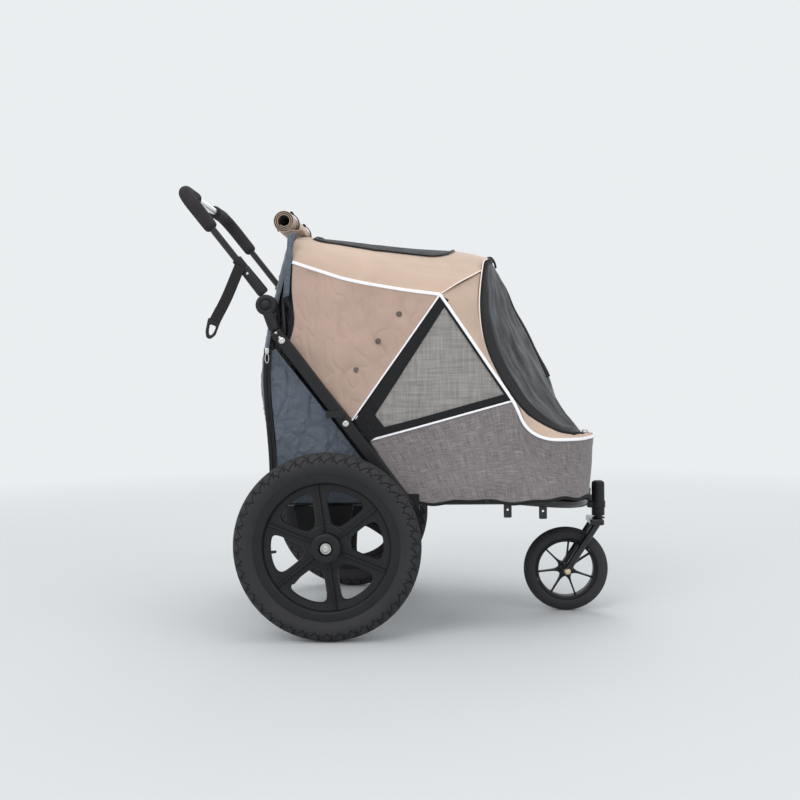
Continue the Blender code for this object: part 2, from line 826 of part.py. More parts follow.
def build_side_frame(side, sign):
    length = 0.4720
    low, high = along(RAIL_ANGLE, -0.0150), along(RAIL_ANGLE, length)
    middle = ((low[0] + high[0]) / 2, (low[1] + high[1]) / 2)
    bm = bmesh.new()
    bmesh.ops.create_cube(bm, size=1.0)
    bmesh.ops.scale(bm, vec=(length + 0.015, RAIL_THICK, RAIL_WIDTH), verts=bm.verts)
    rail = from_bmesh(f"side_rail_{side}", bm, "frame_black")
    rail.location = place(middle[0], sign * RAIL_Y, middle[1])
    rail.rotation_euler = (0.0, -RAIL_ANGLE, 0.0)
    edges = rail.modifiers.new("edges", "BEVEL")
    edges.width = 0.003
    edges.segments = 2
    for name, (x, z) in (("pivot", PIVOT), ("rear_hinge", REAR_HINGE), ("front_hinge", FRONT_HINGE)):
        hole = rod(f"hole_{name}_{side}", (x, sign * 0.195, z), (x, sign * 0.240, z), 0.0044, None, 16)
        boolean(rail, hole, "DIFFERENCE")
    move_origin(rail, PIVOT[0], sign * RAIL_Y, PIVOT[1])

    base = rod(
        f"knuckle_base_{side}",
        (KNUCKLE[0], sign * 0.2170, KNUCKLE[1]),
        (KNUCKLE[0], sign * 0.2320, KNUCKLE[1]),
        KNUCKLE_R,
        "moulded_black",
        32,
    )
    foot = along(RAIL_ANGLE, 0.4730)
    arm = rod(
        f"knuckle_arm_{side}",
        (KNUCKLE[0] + 0.0015, sign * 0.2245, KNUCKLE[1] - 0.010),
        (foot[0] - 0.002, sign * 0.2180, foot[1] + 0.003),
        0.0118,
        None,
        20,
    )
    boolean(base, arm, "UNION")
    clear = rod(
        f"knuckle_room_{side}",
        (KNUCKLE[0], sign * 0.1980, KNUCKLE[1]),
        (KNUCKLE[0], sign * 0.2168, KNUCKLE[1]),
        KNUCKLE_R + 0.002,
        None,
        32,
    )
    boolean(base, clear, "DIFFERENCE")
    spigot = rod(
        f"knuckle_spigot_{side}",
        (KNUCKLE[0], sign * 0.2035, KNUCKLE[1]),
        (KNUCKLE[0], sign * 0.2200, KNUCKLE[1]),
        0.0055,
        None,
        16,
    )
    boolean(base, spigot, "UNION")
    bore = rod(
        f"button_bore_{side}",
        (KNUCKLE[0], sign * 0.2225, KNUCKLE[1]),
        (KNUCKLE[0], sign * 0.2400, KNUCKLE[1]),
        0.0123,
        None,
        24,
    )
    boolean(base, bore, "DIFFERENCE")
    cut = bpy.data.objects.new(f"rail_shape_{side}", rail.data)
    PARTS.objects.link(cut)
    bpy.context.view_layer.update()
    cut.matrix_world = rail.matrix_world @ Matrix.Diagonal((1.0, 1.03, 1.03, 1.0))
    boolean(base, cut, "DIFFERENCE")
    move_origin(base, PIVOT[0], sign * RAIL_Y, PIVOT[1])

    turned(
        f"knuckle_button_{side}",
        [
            (0.0, 0.2385),
            (0.0060, 0.2375),
            (0.0100, 0.2350),
            (0.0119, 0.2310),
            (0.0119, 0.2268),
            (0.0, 0.2268),
        ],
        (KNUCKLE[0], 0, KNUCKLE[1]),
        (0, sign, 0),
        "moulded_black",
        24,
        closed=False,
    )

    outer = sign * (RAIL_Y + RAIL_THICK / 2 + GAP)
    latch = rod(
        f"fold_latch_{side}",
        (LATCH[0] + 0.004, outer, LATCH[1] - 0.001),
        (LATCH[0] + 0.004, outer + sign * 0.0040, LATCH[1] - 0.001),
        0.0095,
        "moulded_black",
        20,
    )
    tongue = box(
        f"latch_tongue_{side}",
        (LATCH[0] - 0.026, min(outer, outer + sign * 0.0040), LATCH[1] - 0.0085),
        (LATCH[0] + 0.004, max(outer, outer + sign * 0.0040), LATCH[1] + 0.0065),
        None,
    )
    boolean(latch, tongue, "UNION")
    move_origin(latch, LATCH[0] + 0.004, outer, LATCH[1] - 0.001)


def build_hoops():
    top = (-0.074, 0.853)
    leg = [REAR_HINGE, (-0.1045, 0.740)]
    corners = [(leg[0][0], HOOP_Y, leg[0][1]), (leg[1][0], HOOP_Y, leg[1][1]), (top[0], HOOP_Y, top[1])]
    path = rounded_path(corners + [(top[0], 0.0, top[1])], [0.15, 0.040])
    rear = meshed(tube("rear_hoop", mirrored([tuple(p) for p in path]), HOOP_R, "frame_black"))
    top = (0.3500, 0.8210)
    corners = [
        (FRONT_HINGE[0], HOOP_Y, FRONT_HINGE[1]),
        (0.2360, HOOP_Y, 0.7270),
        (0.3250, 0.1150, 0.7820),
        (top[0], 0.045, top[1]),
        (top[0], 0.0, top[1]),
    ]
    path = rounded_path(corners, [0.060, 0.060, 0.040])
    front = meshed(tube("front_hoop", mirrored([tuple(p) for p in path]), HOOP_R, "frame_black"))
    for hoop, (x, z) in ((rear, REAR_HINGE), (front, FRONT_HINGE)):
        for side, sign in SIDES:
            pin = rod(
                f"{hoop.name}_pin_{side}", (x, sign * 0.178, z), (x, sign * 0.2295, z), 0.0040, None, 16
            )
            boolean(hoop, pin, "UNION")
            head = rod(
                f"{hoop.name}_head_{side}", (x, sign * 0.2275, z), (x, sign * 0.2305, z), 0.0075, None, 16
            )
            boolean(hoop, head, "UNION")
            eye = rod(
                f"{hoop.name}_eye_{side}", (x, sign * 0.1755, z), (x, sign * 0.1915, z), 0.0105, None, 16
            )
            boolean(hoop, eye, "UNION")
        move_origin(hoop, x, 0, z)


# ---------------------------------------------------------------- handle
def handle_at(distance):
    return along(HANDLE_ANGLE, distance, HANDLE_POINT)


def build_handle():
    for side, sign in SIDES:
        socket = rod(
            f"knuckle_socket_{side}",
            (KNUCKLE[0], sign * 0.2040, KNUCKLE[1]),
            (KNUCKLE[0], sign * 0.2165, KNUCKLE[1]),
            KNUCKLE_R,
            "moulded_black",
            32,
        )
        low, high = handle_at(-0.0800), handle_at(-0.0120)
        sleeve = rod(
            f"socket_sleeve_{side}",
            (low[0], sign * 0.2155, low[1]),
            (high[0], sign * RAIL_Y, high[1]),
            0.0128,
            None,
            20,
            end_radius=0.0118,
        )
        neck = rod(
            f"socket_neck_{side}",
            (KNUCKLE[0] + 0.003, sign * 0.2102, KNUCKLE[1] + 0.006),
            (handle_at(-0.056)[0], sign * 0.2130, handle_at(-0.056)[1]),
            0.0062,
            None,
            16,
            end_radius=0.0100,
        )
        room = rod(
            f"socket_room_{side}",
            (KNUCKLE[0], sign * 0.2168, KNUCKLE[1]),
            (KNUCKLE[0], sign * 0.2420, KNUCKLE[1]),
            KNUCKLE_R + 0.002,
            None,
            32,
        )
        bore = rod(
            f"spigot_bore_{side}",
            (KNUCKLE[0], sign * 0.1980, KNUCKLE[1]),
            (KNUCKLE[0], sign * 0.2200, KNUCKLE[1]),
            0.0060,
            None,
            16,
        )
        start = handle_at(-0.0400)
        finish = handle_at(0.0100)
        seat = rod(
            f"leg_seat_{side}",
            (start[0], sign * RAIL_Y, start[1]),
            (finish[0], sign * RAIL_Y, finish[1]),
            HANDLE_R + GAP,
            None,
            16,
        )
        boolean(socket, sleeve, "UNION")
        boolean(socket, neck, "UNION")
        boolean(socket, room, "DIFFERENCE")
        boolean(socket, bore, "DIFFERENCE")
        boolean(socket, seat, "DIFFERENCE")
        move_origin(socket, KNUCKLE[0], 0, KNUCKLE[1])

    leg, top = handle_at(-0.0395), handle_at(HANDLE_LENGTH)
    corners = [(leg[0], RAIL_Y, leg[1]), (top[0], RAIL_Y, top[1]), (top[0], 0.0, top[1])]
    path = [tuple(p) for p in rounded_path(corners, [0.048], 6)]
    bar = meshed(tube("handle_bar", mirrored(path), HANDLE_R, "frame_black", 12))
    move_origin(bar, KNUCKLE[0], 0, KNUCKLE[1])

    low = handle_at(0.1010)
    corners = [(low[0], RAIL_Y, low[1]), (top[0], RAIL_Y, top[1]), (top[0], 0.090, top[1])]
    path = rounded_path(corners, [0.048], 6)
    for side, sign in SIDES:
        route = [(p[0], sign * p[1], p[2]) for p in path]
        grip = meshed(tube(f"grip_{side}", route, GRIP_R, "foam", 12))
        inner = rounded_path([corners[0], corners[1], corners[2]], [0.048], 6)
        run_in = (inner[0] - inner[1]).normalized() * 0.01
        run_out = (inner[-1] - inner[-2]).normalized() * 0.01
        inner = [inner[0] + run_in] + inner[1:-1] + [inner[-1] + run_out]
        core = meshed(
            tube(
                f"grip_core_{side}",
                [(p[0], sign * p[1], p[2]) for p in inner],
                HANDLE_R + 0.0009,
                "foam",
                10,
            )
        )
        boolean(grip, core, "DIFFERENCE")
        move_origin(grip, KNUCKLE[0], 0, KNUCKLE[1])

    collar = turned(
        "strap_collar",
        [(0.0110, 0.0130), (0.0110, -0.0130), (0.0084, -0.0130), (0.0084, 0.0130)],
        (handle_at(0.0020)[0], -RAIL_Y, handle_at(0.0020)[1]),
        (math.cos(HANDLE_ANGLE), 0, math.sin(HANDLE_ANGLE)),
        "webbing",
        20,
    )
    move_origin(collar, KNUCKLE[0], 0, KNUCKLE[1])
    route = [(-0.1880, 0.8110), (-0.2185, 0.7430), (-0.2466, 0.6900)]
    strap = tube("fold_strap", [(x, STRAP_Y, z) for x, z in spline_2d(route, 9)], 0.0012, "webbing", 8)
    strap.data.extrude = 0.0110
    strap = meshed(strap)
    move_origin(strap, KNUCKLE[0], 0, KNUCKLE[1])
    hook = plate(
        "strap_hook",
        [
            [
                (-0.2370, 0.6790),
                (-0.2600, 0.6870),
                (-0.2650, 0.6700),
                (-0.2640, 0.6580),
                (-0.2570, 0.6545),
                (-0.2470, 0.6610),
            ],
            [(-0.2440, 0.6755), (-0.2560, 0.6790), (-0.2590, 0.6690), (-0.2580, 0.6620), (-0.2520, 0.6640)],
        ],
        STRAP_Y,
        0.0050,
        "moulded_black",
    )
    move_origin(hook, KNUCKLE[0], 0, KNUCKLE[1])


def spline_2d(points, count):
    return [(x, z) for x, _, z in spline_through([(x, 0.0, z) for x, z in points], count).tolist()]


# ---------------------------------------------------------------- cabin
def side_surface(bottom, top, left, right, steps, bulge):
    """A side panel between four edges, swelling outwards between them."""
    edges = [spline_through(e, steps) for e in (bottom, top, left, right)]
    grid = between_four(*edges)
    u = np.linspace(0, 1, steps)[:, None]
    v = np.linspace(0, 1, steps)[None, :]
    grid[..., 1] += bulge * 16 * u * (1 - u) * v * (1 - v)
    return pull_in(grid, SEAM)


def build_cabin_sides(side, sign):
    flip = np.array([1.0, sign, 1.0])
    rear = [RAIL_TOP_CORNER, (-0.076, CABIN_Y, 0.690), (-0.080, 0.199, 0.760), ROOF_REAR]
    grid = side_surface(
        [RAIL_TOP_CORNER, RAIL_LOW_CORNER], ROOF_SIDE, rear, [RAIL_LOW_CORNER, APEX], 7, 0.0030
    )
    cloth(f"side_panel_{side}", grid * flip, "beige_cloth", (0, sign, 0))

    low = (0.060, CABIN_Y, 0.4605)
    grid = window_grid(low)
    cloth(f"side_window_{side}", grid * flip, "window_mesh", (0, sign, 0))

    rail = [(-0.118, CABIN_Y, 0.630), (0.010, CABIN_Y, 0.465), (0.150, CABIN_Y, 0.2900)]
    rear = [
        (-0.118, CABIN_Y, 0.2870),
        (-0.119, CABIN_Y, 0.390),
        (-0.130, CABIN_Y, 0.540),
        (-0.127, CABIN_Y, 0.625),
    ]
    grid = side_surface(
        [rear[0], (0.142, CABIN_Y, 0.2870)], [rear[-1], rail[0]], rear, [
            (0.142, CABIN_Y, 0.2870), rail[1], rail[0]
        ], 7, 0.0
    )
    cloth(f"rear_side_panel_{side}", grid * flip, "slate_cloth", (0, sign, 0))

    zip_x, zip_z = -0.1370, 0.6260
    slider = box(
        f"zip_slider_{side}",
        (zip_x - 0.005, min(sign * 0.2003, sign * 0.2035), zip_z - 0.024),
        (zip_x + 0.005, max(sign * 0.2003, sign * 0.2035), zip_z + 0.006),
        "steel",
        0.0012,
    )
    move_origin(slider, zip_x, sign * 0.2003, zip_z)


APEX_FRONT = (0.258, CABIN_Y, 0.7285)


def window_grid(low):
    """The mesh window: a sheet between its rear edge up the hoop and its front edge down the piping."""
    steps = 7
    rear = spline_through([low, APEX], steps)
    front = spline_through([BAND_FRONT, APEX_FRONT], steps)
    bottom = spline_through([low, (0.090, CABIN_Y, 0.4270), (0.190, CABIN_Y, 0.4530), BAND_FRONT], steps)
    grid = between_four(bottom, spline_through([APEX, APEX_FRONT], steps), rear, front)
    return pull_in(grid, SEAM)


def build_tub():
    steps = 14
    top = spline_through(BAND_TOP, steps)
    bottom = spline_through(BAND_BOTTOM, steps)
    top = np.vstack([top, top[-2::-1] * [1, -1, 1]])
    bottom = np.vstack([bottom, bottom[-2::-1] * [1, -1, 1]])
    heights = np.linspace(0, 1, 4)[None, :, None]
    grid = bottom[:, None] * (1 - heights) + top[:, None] * heights
    cloth("tub_wall", pull_in(grid, 3 * SEAM), "grey_cloth", (1, 0, 0))


def build_roof():
    steps, across = 13, 9
    half = between_four(
        spline_through(ROOF_SIDE, steps),
        spline_through(ROOF_MIDDLE, steps),
        spline_through(ROOF_BACK, across),
        spline_through(ROOF_FRONT, across),
    )
    whole = np.concatenate([half, half[:, -2::-1] * [1, -1, 1]], axis=1)
    whole = pull_in(whole, SEAM)
    cells = (steps - 1, 2 * (across - 1))
    hole = np.zeros(cells, bool)
    hole[1:10, 4:12] = True
    cloth("roof_panel", whole, "cream_cloth", (0, 0, 1), ~hole)
    inside = pull_in(whole[1:11, 4:13], 0.004)
    inside[..., 2] += 0.0015
    cloth("roof_mesh", inside, "dark_mesh", (0, 0, 1))


def build_front():
    steps, across = 13, 4
    outer = spline_through(PIPING, steps)
    inner = spline_through(DOOR_EDGE, steps)
    outer = np.vstack([outer, outer[-2::-1] * [1, -1, 1]])
    inner = np.vstack([inner, inner[-2::-1] * [1, -1, 1]])
    share = np.linspace(0, 1, across)[None, :, None]
    grid = outer[:, None] * (1 - share) + inner[:, None] * share
    cloth("front_surround", pull_in(grid, SEAM), "cream_cloth", (1, 0, 1))

    rows = 13
    edge = [(0.366, 0.030, 0.835), (0.358, 0.070, 0.829), (0.347, 0.100, 0.812)] + DOOR_EDGE[1:]
    edge = spline_through(edge, rows)
    middle = spline_through(DOOR_MIDDLE, rows)
    columns = 5
    share = np.linspace(0, 1, columns)
    lean = (1 - np.cos(share * math.pi / 2))[None, :]
    across_y = edge[:, 1:2] * share[None, :]
    x = middle[:, 0:1] + (edge[:, 0:1] - middle[:, 0:1]) * lean
    z = middle[:, 2:3] + (edge[:, 2:3] - middle[:, 2:3]) * lean
    half = np.stack([x, across_y, z], axis=-1)[:, ::-1]
    whole = np.concatenate([half, half[:, -2::-1] * [1, -1, 1]], axis=1)
    whole = pull_in(whole[:-1], 0.0045)
    whole[0, :, 0] += 0.004
    door = cloth("front_door", whole, "dark_mesh", (1, 0, 0))
    move_origin(door, *DOOR_HINGE)


DOOR_HINGE = (0.3700, 0.0, 0.8340)


def build_back():
    profile = spline_through([(x, 0.0, z) for x, z in BACK_LINE], 10)
    corner = np.array(BACK_CORNER)
    y = np.r_[corner[::-1, 0], -corner[1:, 0]]
    step = np.r_[corner[::-1, 1], corner[1:, 1]]
    grid = np.zeros((len(profile), len(y), 3))
    grid[..., 0] = profile[:, 0:1] + step[None, :]
    grid[..., 1] = y[None, :]
    grid[..., 2] = profile[:, 2:3]
    cloth("back_panel", grid, "slate_cloth", (-1, 0, 0))

    turned(
        "rolled_cover",
        [(0.0250, 0.150), (0.0250, -0.150), (0.0165, -0.150), (0.0165, 0.150)],
        (-0.1030, 0.0, 0.9185),
        (0, 1, 0),
        "cream_cloth",
        24,
    )


# ---------------------------------------------------------------- build
build_chassis()
build_brake()
build_caster()
for side_name, side_sign in SIDES:
    build_rear_wheel(side_name, side_sign)
    build_side_frame(side_name, side_sign)
    build_cabin_sides(side_name, side_sign)
build_hoops()
build_handle()
build_tub()
build_roof()
build_front()
build_back()
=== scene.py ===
import math

import bmesh
import bpy
import numpy as np
from mathutils import Matrix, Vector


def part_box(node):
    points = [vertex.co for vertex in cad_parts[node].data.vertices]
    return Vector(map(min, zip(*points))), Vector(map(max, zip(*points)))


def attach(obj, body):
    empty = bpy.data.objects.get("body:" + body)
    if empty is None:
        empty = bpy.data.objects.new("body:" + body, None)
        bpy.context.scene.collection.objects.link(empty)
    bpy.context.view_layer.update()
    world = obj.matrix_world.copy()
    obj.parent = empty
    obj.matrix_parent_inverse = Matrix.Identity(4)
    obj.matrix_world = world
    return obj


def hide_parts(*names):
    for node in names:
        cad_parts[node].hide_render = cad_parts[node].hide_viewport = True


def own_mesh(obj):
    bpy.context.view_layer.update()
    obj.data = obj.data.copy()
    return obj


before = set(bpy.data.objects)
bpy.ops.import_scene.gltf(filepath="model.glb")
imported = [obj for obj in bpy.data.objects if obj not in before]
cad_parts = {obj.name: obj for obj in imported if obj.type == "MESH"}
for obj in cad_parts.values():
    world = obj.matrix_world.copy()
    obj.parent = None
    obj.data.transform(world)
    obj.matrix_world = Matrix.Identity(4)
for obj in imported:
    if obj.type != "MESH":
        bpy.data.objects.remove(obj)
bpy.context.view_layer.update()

bl_info = {
    "name": "Pet Stroller",
    "version": (1, 0, 0),
    "blender": (4, 5, 0),
    "location": "3D View > Sidebar > Pet Stroller",
    "description": "Fabric cabin, treaded wheels, grips and finishes around a folding pet stroller's frame",
    "category": "Add Mesh",
}

TAU = math.tau
SIDES = (("left", 1), ("right", -1))


# ---------------------------------------------------------------- sizes, from the frame
def low_of(node):
    return np.array(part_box(node)[0])


def high_of(node):
    return np.array(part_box(node)[1])


def middle_of(node):
    return (low_of(node) + high_of(node)) / 2


AXLE_X, WHEEL_Y, AXLE_Z = middle_of("tyre_left")
TYRE_R = high_of("tyre_left")[2] - AXLE_Z
CASTER_X, _, CASTER_Z = middle_of("front_tyre") - [AXLE_X, 0, 0]
STEM_X = middle_of("head_tube")[0] - AXLE_X
CABIN_Y = 0.200  # outer half-width of the fabric cabin
HOOP_Y = 0.183
RAIL_Y = 0.216
PIVOT = (0.169, 0.290)
RAIL_ANGLE = math.radians(126.9)
HANDLE_POINT = (-0.1886, 0.8151)
HANDLE_ANGLE = math.radians(127.8)
KNUCKLE_X, KNUCKLE_Z = -0.133, 0.7255

# Edges of the fabric panels on the left side, from the rear axle. Panels that meet share an edge.
ROOF_REAR = (-0.078, 0.197, 0.821)
APEX = (0.2473, 0.200, 0.7444)
RAIL_TOP_CORNER = (-0.088, CABIN_Y, 0.643)
RAIL_LOW_CORNER = (0.050, CABIN_Y, 0.470)
WINDOW_LOW = (0.060, CABIN_Y, 0.4605)
BAND_REAR = (0.086, CABIN_Y, 0.4245)
BAND_FRONT = (0.4038, CABIN_Y, 0.509)
APEX_FRONT = (0.258, CABIN_Y, 0.7285)
ROOF_SIDE = [ROOF_REAR, (-0.016, 0.199, 0.7996), (0.050, CABIN_Y, 0.7787), (0.160, CABIN_Y, 0.7572), APEX]
PANEL_REAR = [RAIL_TOP_CORNER, (-0.076, CABIN_Y, 0.690), (-0.080, 0.199, 0.760), ROOF_REAR]
FRONT_SEAM = [APEX, (0.290, 0.165, 0.773), (0.340, 0.112, 0.803)]
ROOF_FRONT = FRONT_SEAM + [(0.359, 0.060, 0.832), (0.3665, 0.0, 0.843)]
ROOF_BACK = [
    ROOF_REAR, (-0.080, 0.184, 0.852), (-0.078, 0.150, 0.876), (-0.075, 0.080, 0.893), (-0.074, 0.0, 0.899)
]
ROOF_MIDDLE = [
    (-0.074, 0.0, 0.899), (0.05, 0.0, 0.892), (0.18, 0.0, 0.876), (0.301, 0.0, 0.858), (0.3665, 0.0, 0.843)
]
PIPING = [
    APEX,
    (0.300, CABIN_Y, 0.666),
    (0.352, CABIN_Y, 0.587),
    BAND_FRONT,
    (0.434, CABIN_Y, 0.450),
    (0.478, 0.192, 0.4245),
    (0.545, 0.150, 0.4195),
    (0.590, 0.080, 0.4200),
    (0.6086, 0.0, 0.4214),
]
DOOR_EDGE = [
    (0.340, 0.112, 0.800), (0.336, 0.143, 0.720), (0.348, 0.152, 0.630), (0.385, 0.151, 0.550),
    (0.430, 0.145, 0.488), (0.475, 0.128, 0.452), (0.525, 0.095, 0.4305), (0.565, 0.050, 0.4245),
    (0.5826, 0.0, 0.4240),
]
DOOR_TOP = [(0.366, 0.030, 0.835), (0.358, 0.070, 0.829), (0.347, 0.100, 0.812)]
DOOR_MIDDLE = [
    (0.367, 0.0, 0.837), (0.393, 0.0, 0.785), (0.4237, 0.0, 0.7195), (0.482, 0.0, 0.5995),
    (0.5286, 0.0, 0.4915), (0.5638, 0.0, 0.4434), (0.5826, 0.0, 0.4240),
]
BAND_TOP = [BAND_REAR, (0.190, CABIN_Y, 0.4518), (0.300, CABIN_Y, 0.4812), BAND_FRONT] + PIPING[4:]
BAND_BOTTOM = [
    (0.176, CABIN_Y, 0.2845), (0.240, CABIN_Y, 0.2845), (0.330, CABIN_Y, 0.2845), (0.405, CABIN_Y, 0.2845),
    (0.445, 0.199, 0.2845), (0.490, 0.185, 0.2845), (0.545, 0.145, 0.2845), (0.583, 0.078, 0.2845),
    (0.598, 0.0, 0.2845),
]
REAR_RAIL_EDGE = [(-0.118, CABIN_Y, 0.630), (0.010, CABIN_Y, 0.465), (0.150, CABIN_Y, 0.2900)]
REAR_BACK_EDGE = [(-0.118, 0.287), (-0.119, 0.390), (-0.130, 0.540), (-0.127, 0.625)]
BACK_LINE = [
    (-0.137, 0.286), (-0.139, 0.390), (-0.157, 0.540), (-0.150, 0.640), (-0.126, 0.745), (-0.096, 0.850),
    (-0.089, 0.886),
]
# How far the back steps forward, as (y, step)
BACK_CORNER = [(0.0, 0.0), (0.100, 0.001), (0.176, 0.004), (0.192, 0.009), (0.1995, 0.018)]


# ---------------------------------------------------------------- what a user would change
def colour_property(name, description, default):
    return bpy.props.FloatVectorProperty(
        name=name, description=description, default=default, subtype="COLOR", min=0.0, max=1.0
    )


def length_property(name, description, default):
    return bpy.props.FloatProperty(name=name, description=description, default=default, unit="LENGTH")


class StrollerClothSettings(bpy.types.PropertyGroup):
    beige: colour_property("Side panels", "Colour of the side panels", (0.470, 0.335, 0.270))
    cream: colour_property("Roof and front", "Colour of the roof and front cloth", (0.530, 0.390, 0.302))
    grey_light: colour_property(
        "Band, light thread", "Light thread of the melange band", (0.300, 0.272, 0.270)
    )
    grey_dark: colour_property(
        "Band, dark thread", "Dark thread of the melange band", (0.080, 0.069, 0.073)
    )
    slate: colour_property("Back", "Colour of the nylon back", (0.070, 0.088, 0.115))
    net: colour_property("Window net", "Colour of the window netting", (0.320, 0.305, 0.292))
    wrinkle: length_property("Wrinkle height", "How far the cloth's wrinkles stand out", 0.0026)
    pitch: length_property("Weave pitch", "Distance between the threads of the cloth", 0.0009)


class StrollerWheelSettings(bpy.types.PropertyGroup):
    scales: bpy.props.IntProperty(
        name="Tread scales", description="Curved tread blocks round each shoulder", default=44, min=8
    )
    groove: length_property("Groove depth", "Depth of the tread grooves", 0.0024)
    groove_width: length_property("Groove width", "Half-width of the tread grooves", 0.0015)
    spoke: length_property("Spoke half-width", "Half the width of a rear wheel's spoke", 0.0150)


class StrollerStageSettings(bpy.types.PropertyGroup):
    floor: colour_property("Floor", "Colour of the floor", (0.60, 0.615, 0.625))
    key: bpy.props.FloatProperty(
        name="Key light", description="Strength of the main light in watts", default=40.0
    )
    sky: bpy.props.FloatProperty(name="Sky", description="Strength of the pale surroundings", default=0.80)


# ---------------------------------------------------------------- points, paths and grids
def unit(vectors):
    vectors = np.asarray(vectors, float)
    return vectors / np.maximum(np.linalg.norm(vectors, axis=-1, keepdims=True), 1e-12)


def spline_through(points, count):
    """Points at equal steps along the Catmull-Rom curve through the given ones."""
    knots = np.array(points, float)
    ends = np.vstack([2 * knots[0] - knots[1], knots, 2 * knots[-1] - knots[-2]])
    t = np.linspace(0, 1, 24, endpoint=False)[:, None]
    a, b, c, d = (ends[i : len(ends) - 3 + i, None] for i in range(4))
    fine = 0.5 * (2 * b + (c - a) * t + (2 * a - 5 * b + 4 * c - d) * t**2 + (3 * b - a - 3 * c + d) * t**3)
    return even(np.vstack([fine.reshape(-1, knots.shape[1]), knots[-1:]]), count)


def even(path, count):
    """The same path with its points at equal distances."""
    length = np.r_[0, np.cumsum(np.linalg.norm(np.diff(path, axis=0), axis=1))]
    wanted = np.linspace(0, length[-1], count)
    return np.stack([np.interp(wanted, length, path[:, k]) for k in range(path.shape[1])], axis=1)


def bent(corners, radii, steps=12):
    """Straight runs joined by arcs: each arc swings from one run to the next about its own centre."""
    corners = [np.array(c, float) for c in corners]
    turn = np.linspace(0, 1, steps + 1)[:, None]
    path = [corners[0][None]]
    for before, corner, after, radius in zip(corners, corners[1:], corners[2:], radii):
        into, out = unit(before - corner), unit(after - corner)
        half = math.acos(np.clip(into @ out, -1, 1)) / 2
        centre = corner + unit(into + out) * radius / math.sin(half)
        start = corner + into * radius / math.tan(half) - centre
        end = corner + out * radius / math.tan(half) - centre
        angle = math.pi - 2 * half
        path.append(
            centre + (np.sin((1 - turn) * angle) * start + np.sin(turn * angle) * end) / math.sin(angle)
        )
    path.append(corners[-1][None])
    return np.vstack(path)


def mirrored(points):
    """A half outline on the left side, run on over the middle to its mirror image on the right."""
    points = np.asarray(points, float)
    return np.vstack([points, points[-2::-1] * [1, -1, 1]])


def between_four(bottom, top, left, right):
    """The Coons surface: both ruled surfaces between facing edges, less the one through the corners."""
    u = np.linspace(0, 1, len(bottom))[:, None, None]
    v = np.linspace(0, 1, len(left))[None, :, None]
    ruled = (1 - v) * bottom[:, None] + v * top[:, None] + (1 - u) * left[None] + u * right[None]
    corners = (
        1 - u
    ) * (1 - v) * bottom[0] + u * (1 - v) * bottom[-1] + (1 - u) * v * top[0] + u * v * top[-1]
    return ruled - corners


def on_grid(grid, u, v):
    """Points of a grid at shares u and v of its two sides, by straight blending inside each cell."""
    x = np.clip(u, 0, 1) * (grid.shape[0] - 1)
    y = np.clip(v, 0, 1) * (grid.shape[1] - 1)
    i, j = np.minimum(x.astype(int), grid.shape[0] - 2), np.minimum(y.astype(int), grid.shape[1] - 2)
    x, y = (x - i)[..., None], (y - j)[..., None]
    low = grid[i, j] * (1 - x) + grid[i + 1, j] * x
    high = grid[i, j + 1] * (1 - x) + grid[i + 1, j + 1] * x
    return low * (1 - y) + high * y


def normals_of(grid):
    """The unit cross product of a grid's two directions."""
    return unit(np.cross(np.gradient(grid, axis=0), np.gradient(grid, axis=1)))


def soft_noise(points, length, seed, stretch=(1, 1, 1), waves=14):
    """A smooth random field: the mean of sines in random directions, with wavelengths near length."""
    rng = np.random.default_rng(seed)
    ways = unit(rng.normal(size=(waves, 3))) * np.array(stretch) / rng.uniform(0.6, 1.5, (waves, 1))
    phase = rng.uniform(0, TAU, waves)
    return np.sin(points @ ways.T * TAU / length + phase).sum(-1) / math.sqrt(waves)


def edge_fade(shape, share=0.12):
    """0 on a grid's rim rising smoothly to 1 inside it."""
    u, v = (np.minimum(np.linspace(0, 1, n), np.linspace(1, 0, n)) / share for n in shape)
    both = np.clip(u, 0, 1)[:, None] * np.clip(v, 0, 1)[None, :]
    return both * both * (3 - 2 * both)


def wrinkled(grid, height, length, seed, stretch=(1, 1, 1), crease=0.5, fade=0.12):
    """The grid pushed along its normals by soft waves and, in part, by sharp creases between them."""
    wave = soft_noise(grid, length, seed, stretch)
    fold = 1 - np.abs(soft_noise(grid, length * 1.4, seed + 1, stretch))
    push = (1 - crease) * wave + crease * np.clip(fold, 0, 1) ** 4 * 2
    return grid + normals_of(grid) * (push * height * edge_fade(grid.shape[:2], fade))[..., None]


# ---------------------------------------------------------------- profiles and sweeps
def ring(radius, sides=20):
    angle = np.linspace(0, TAU, sides, endpoint=False)
    return np.stack([radius * np.cos(angle), radius * np.sin(angle)], axis=1)


def tape(half_width, half_height, sides=20):
    """A flat rounded profile: a superellipse of power four."""
    angle = np.linspace(0, TAU, sides, endpoint=False)
    power = np.abs(np.stack([np.cos(angle), np.sin(angle)], axis=1)) ** 0.5
    return power * np.sign(np.stack([np.cos(angle), np.sin(angle)], axis=1)) * [half_width, half_height]


def softened(points, radius, steps=4, closed=True):
    """An outline whose corners are rounded by parabolas that begin a radius away from each corner."""
    points = np.array(points, float)
    before, after = np.roll(points, 1, axis=0), np.roll(points, -1, axis=0)
    reach = np.full((len(points), 1), radius) if np.isscalar(radius) else np.array(radius)[:, None]
    start = points + (before - points) * np.minimum(
        reach / np.linalg.norm(before - points, axis=1, keepdims=True), 0.48
    )
    end = points + (after - points) * np.minimum(
        reach / np.linalg.norm(after - points, axis=1, keepdims=True), 0.48
    )
    if not closed:
        start[0] = end[0] = points[0]
        start[-1] = end[-1] = points[-1]
    s = np.linspace(0, 1, steps + 1)[None, :, None]
    return (
        (1 - s) ** 2 * start[:, None] + 2 * s * (1 - s) * points[:, None] + s**2 * end[:, None]
    ).reshape(-1, points.shape[1])


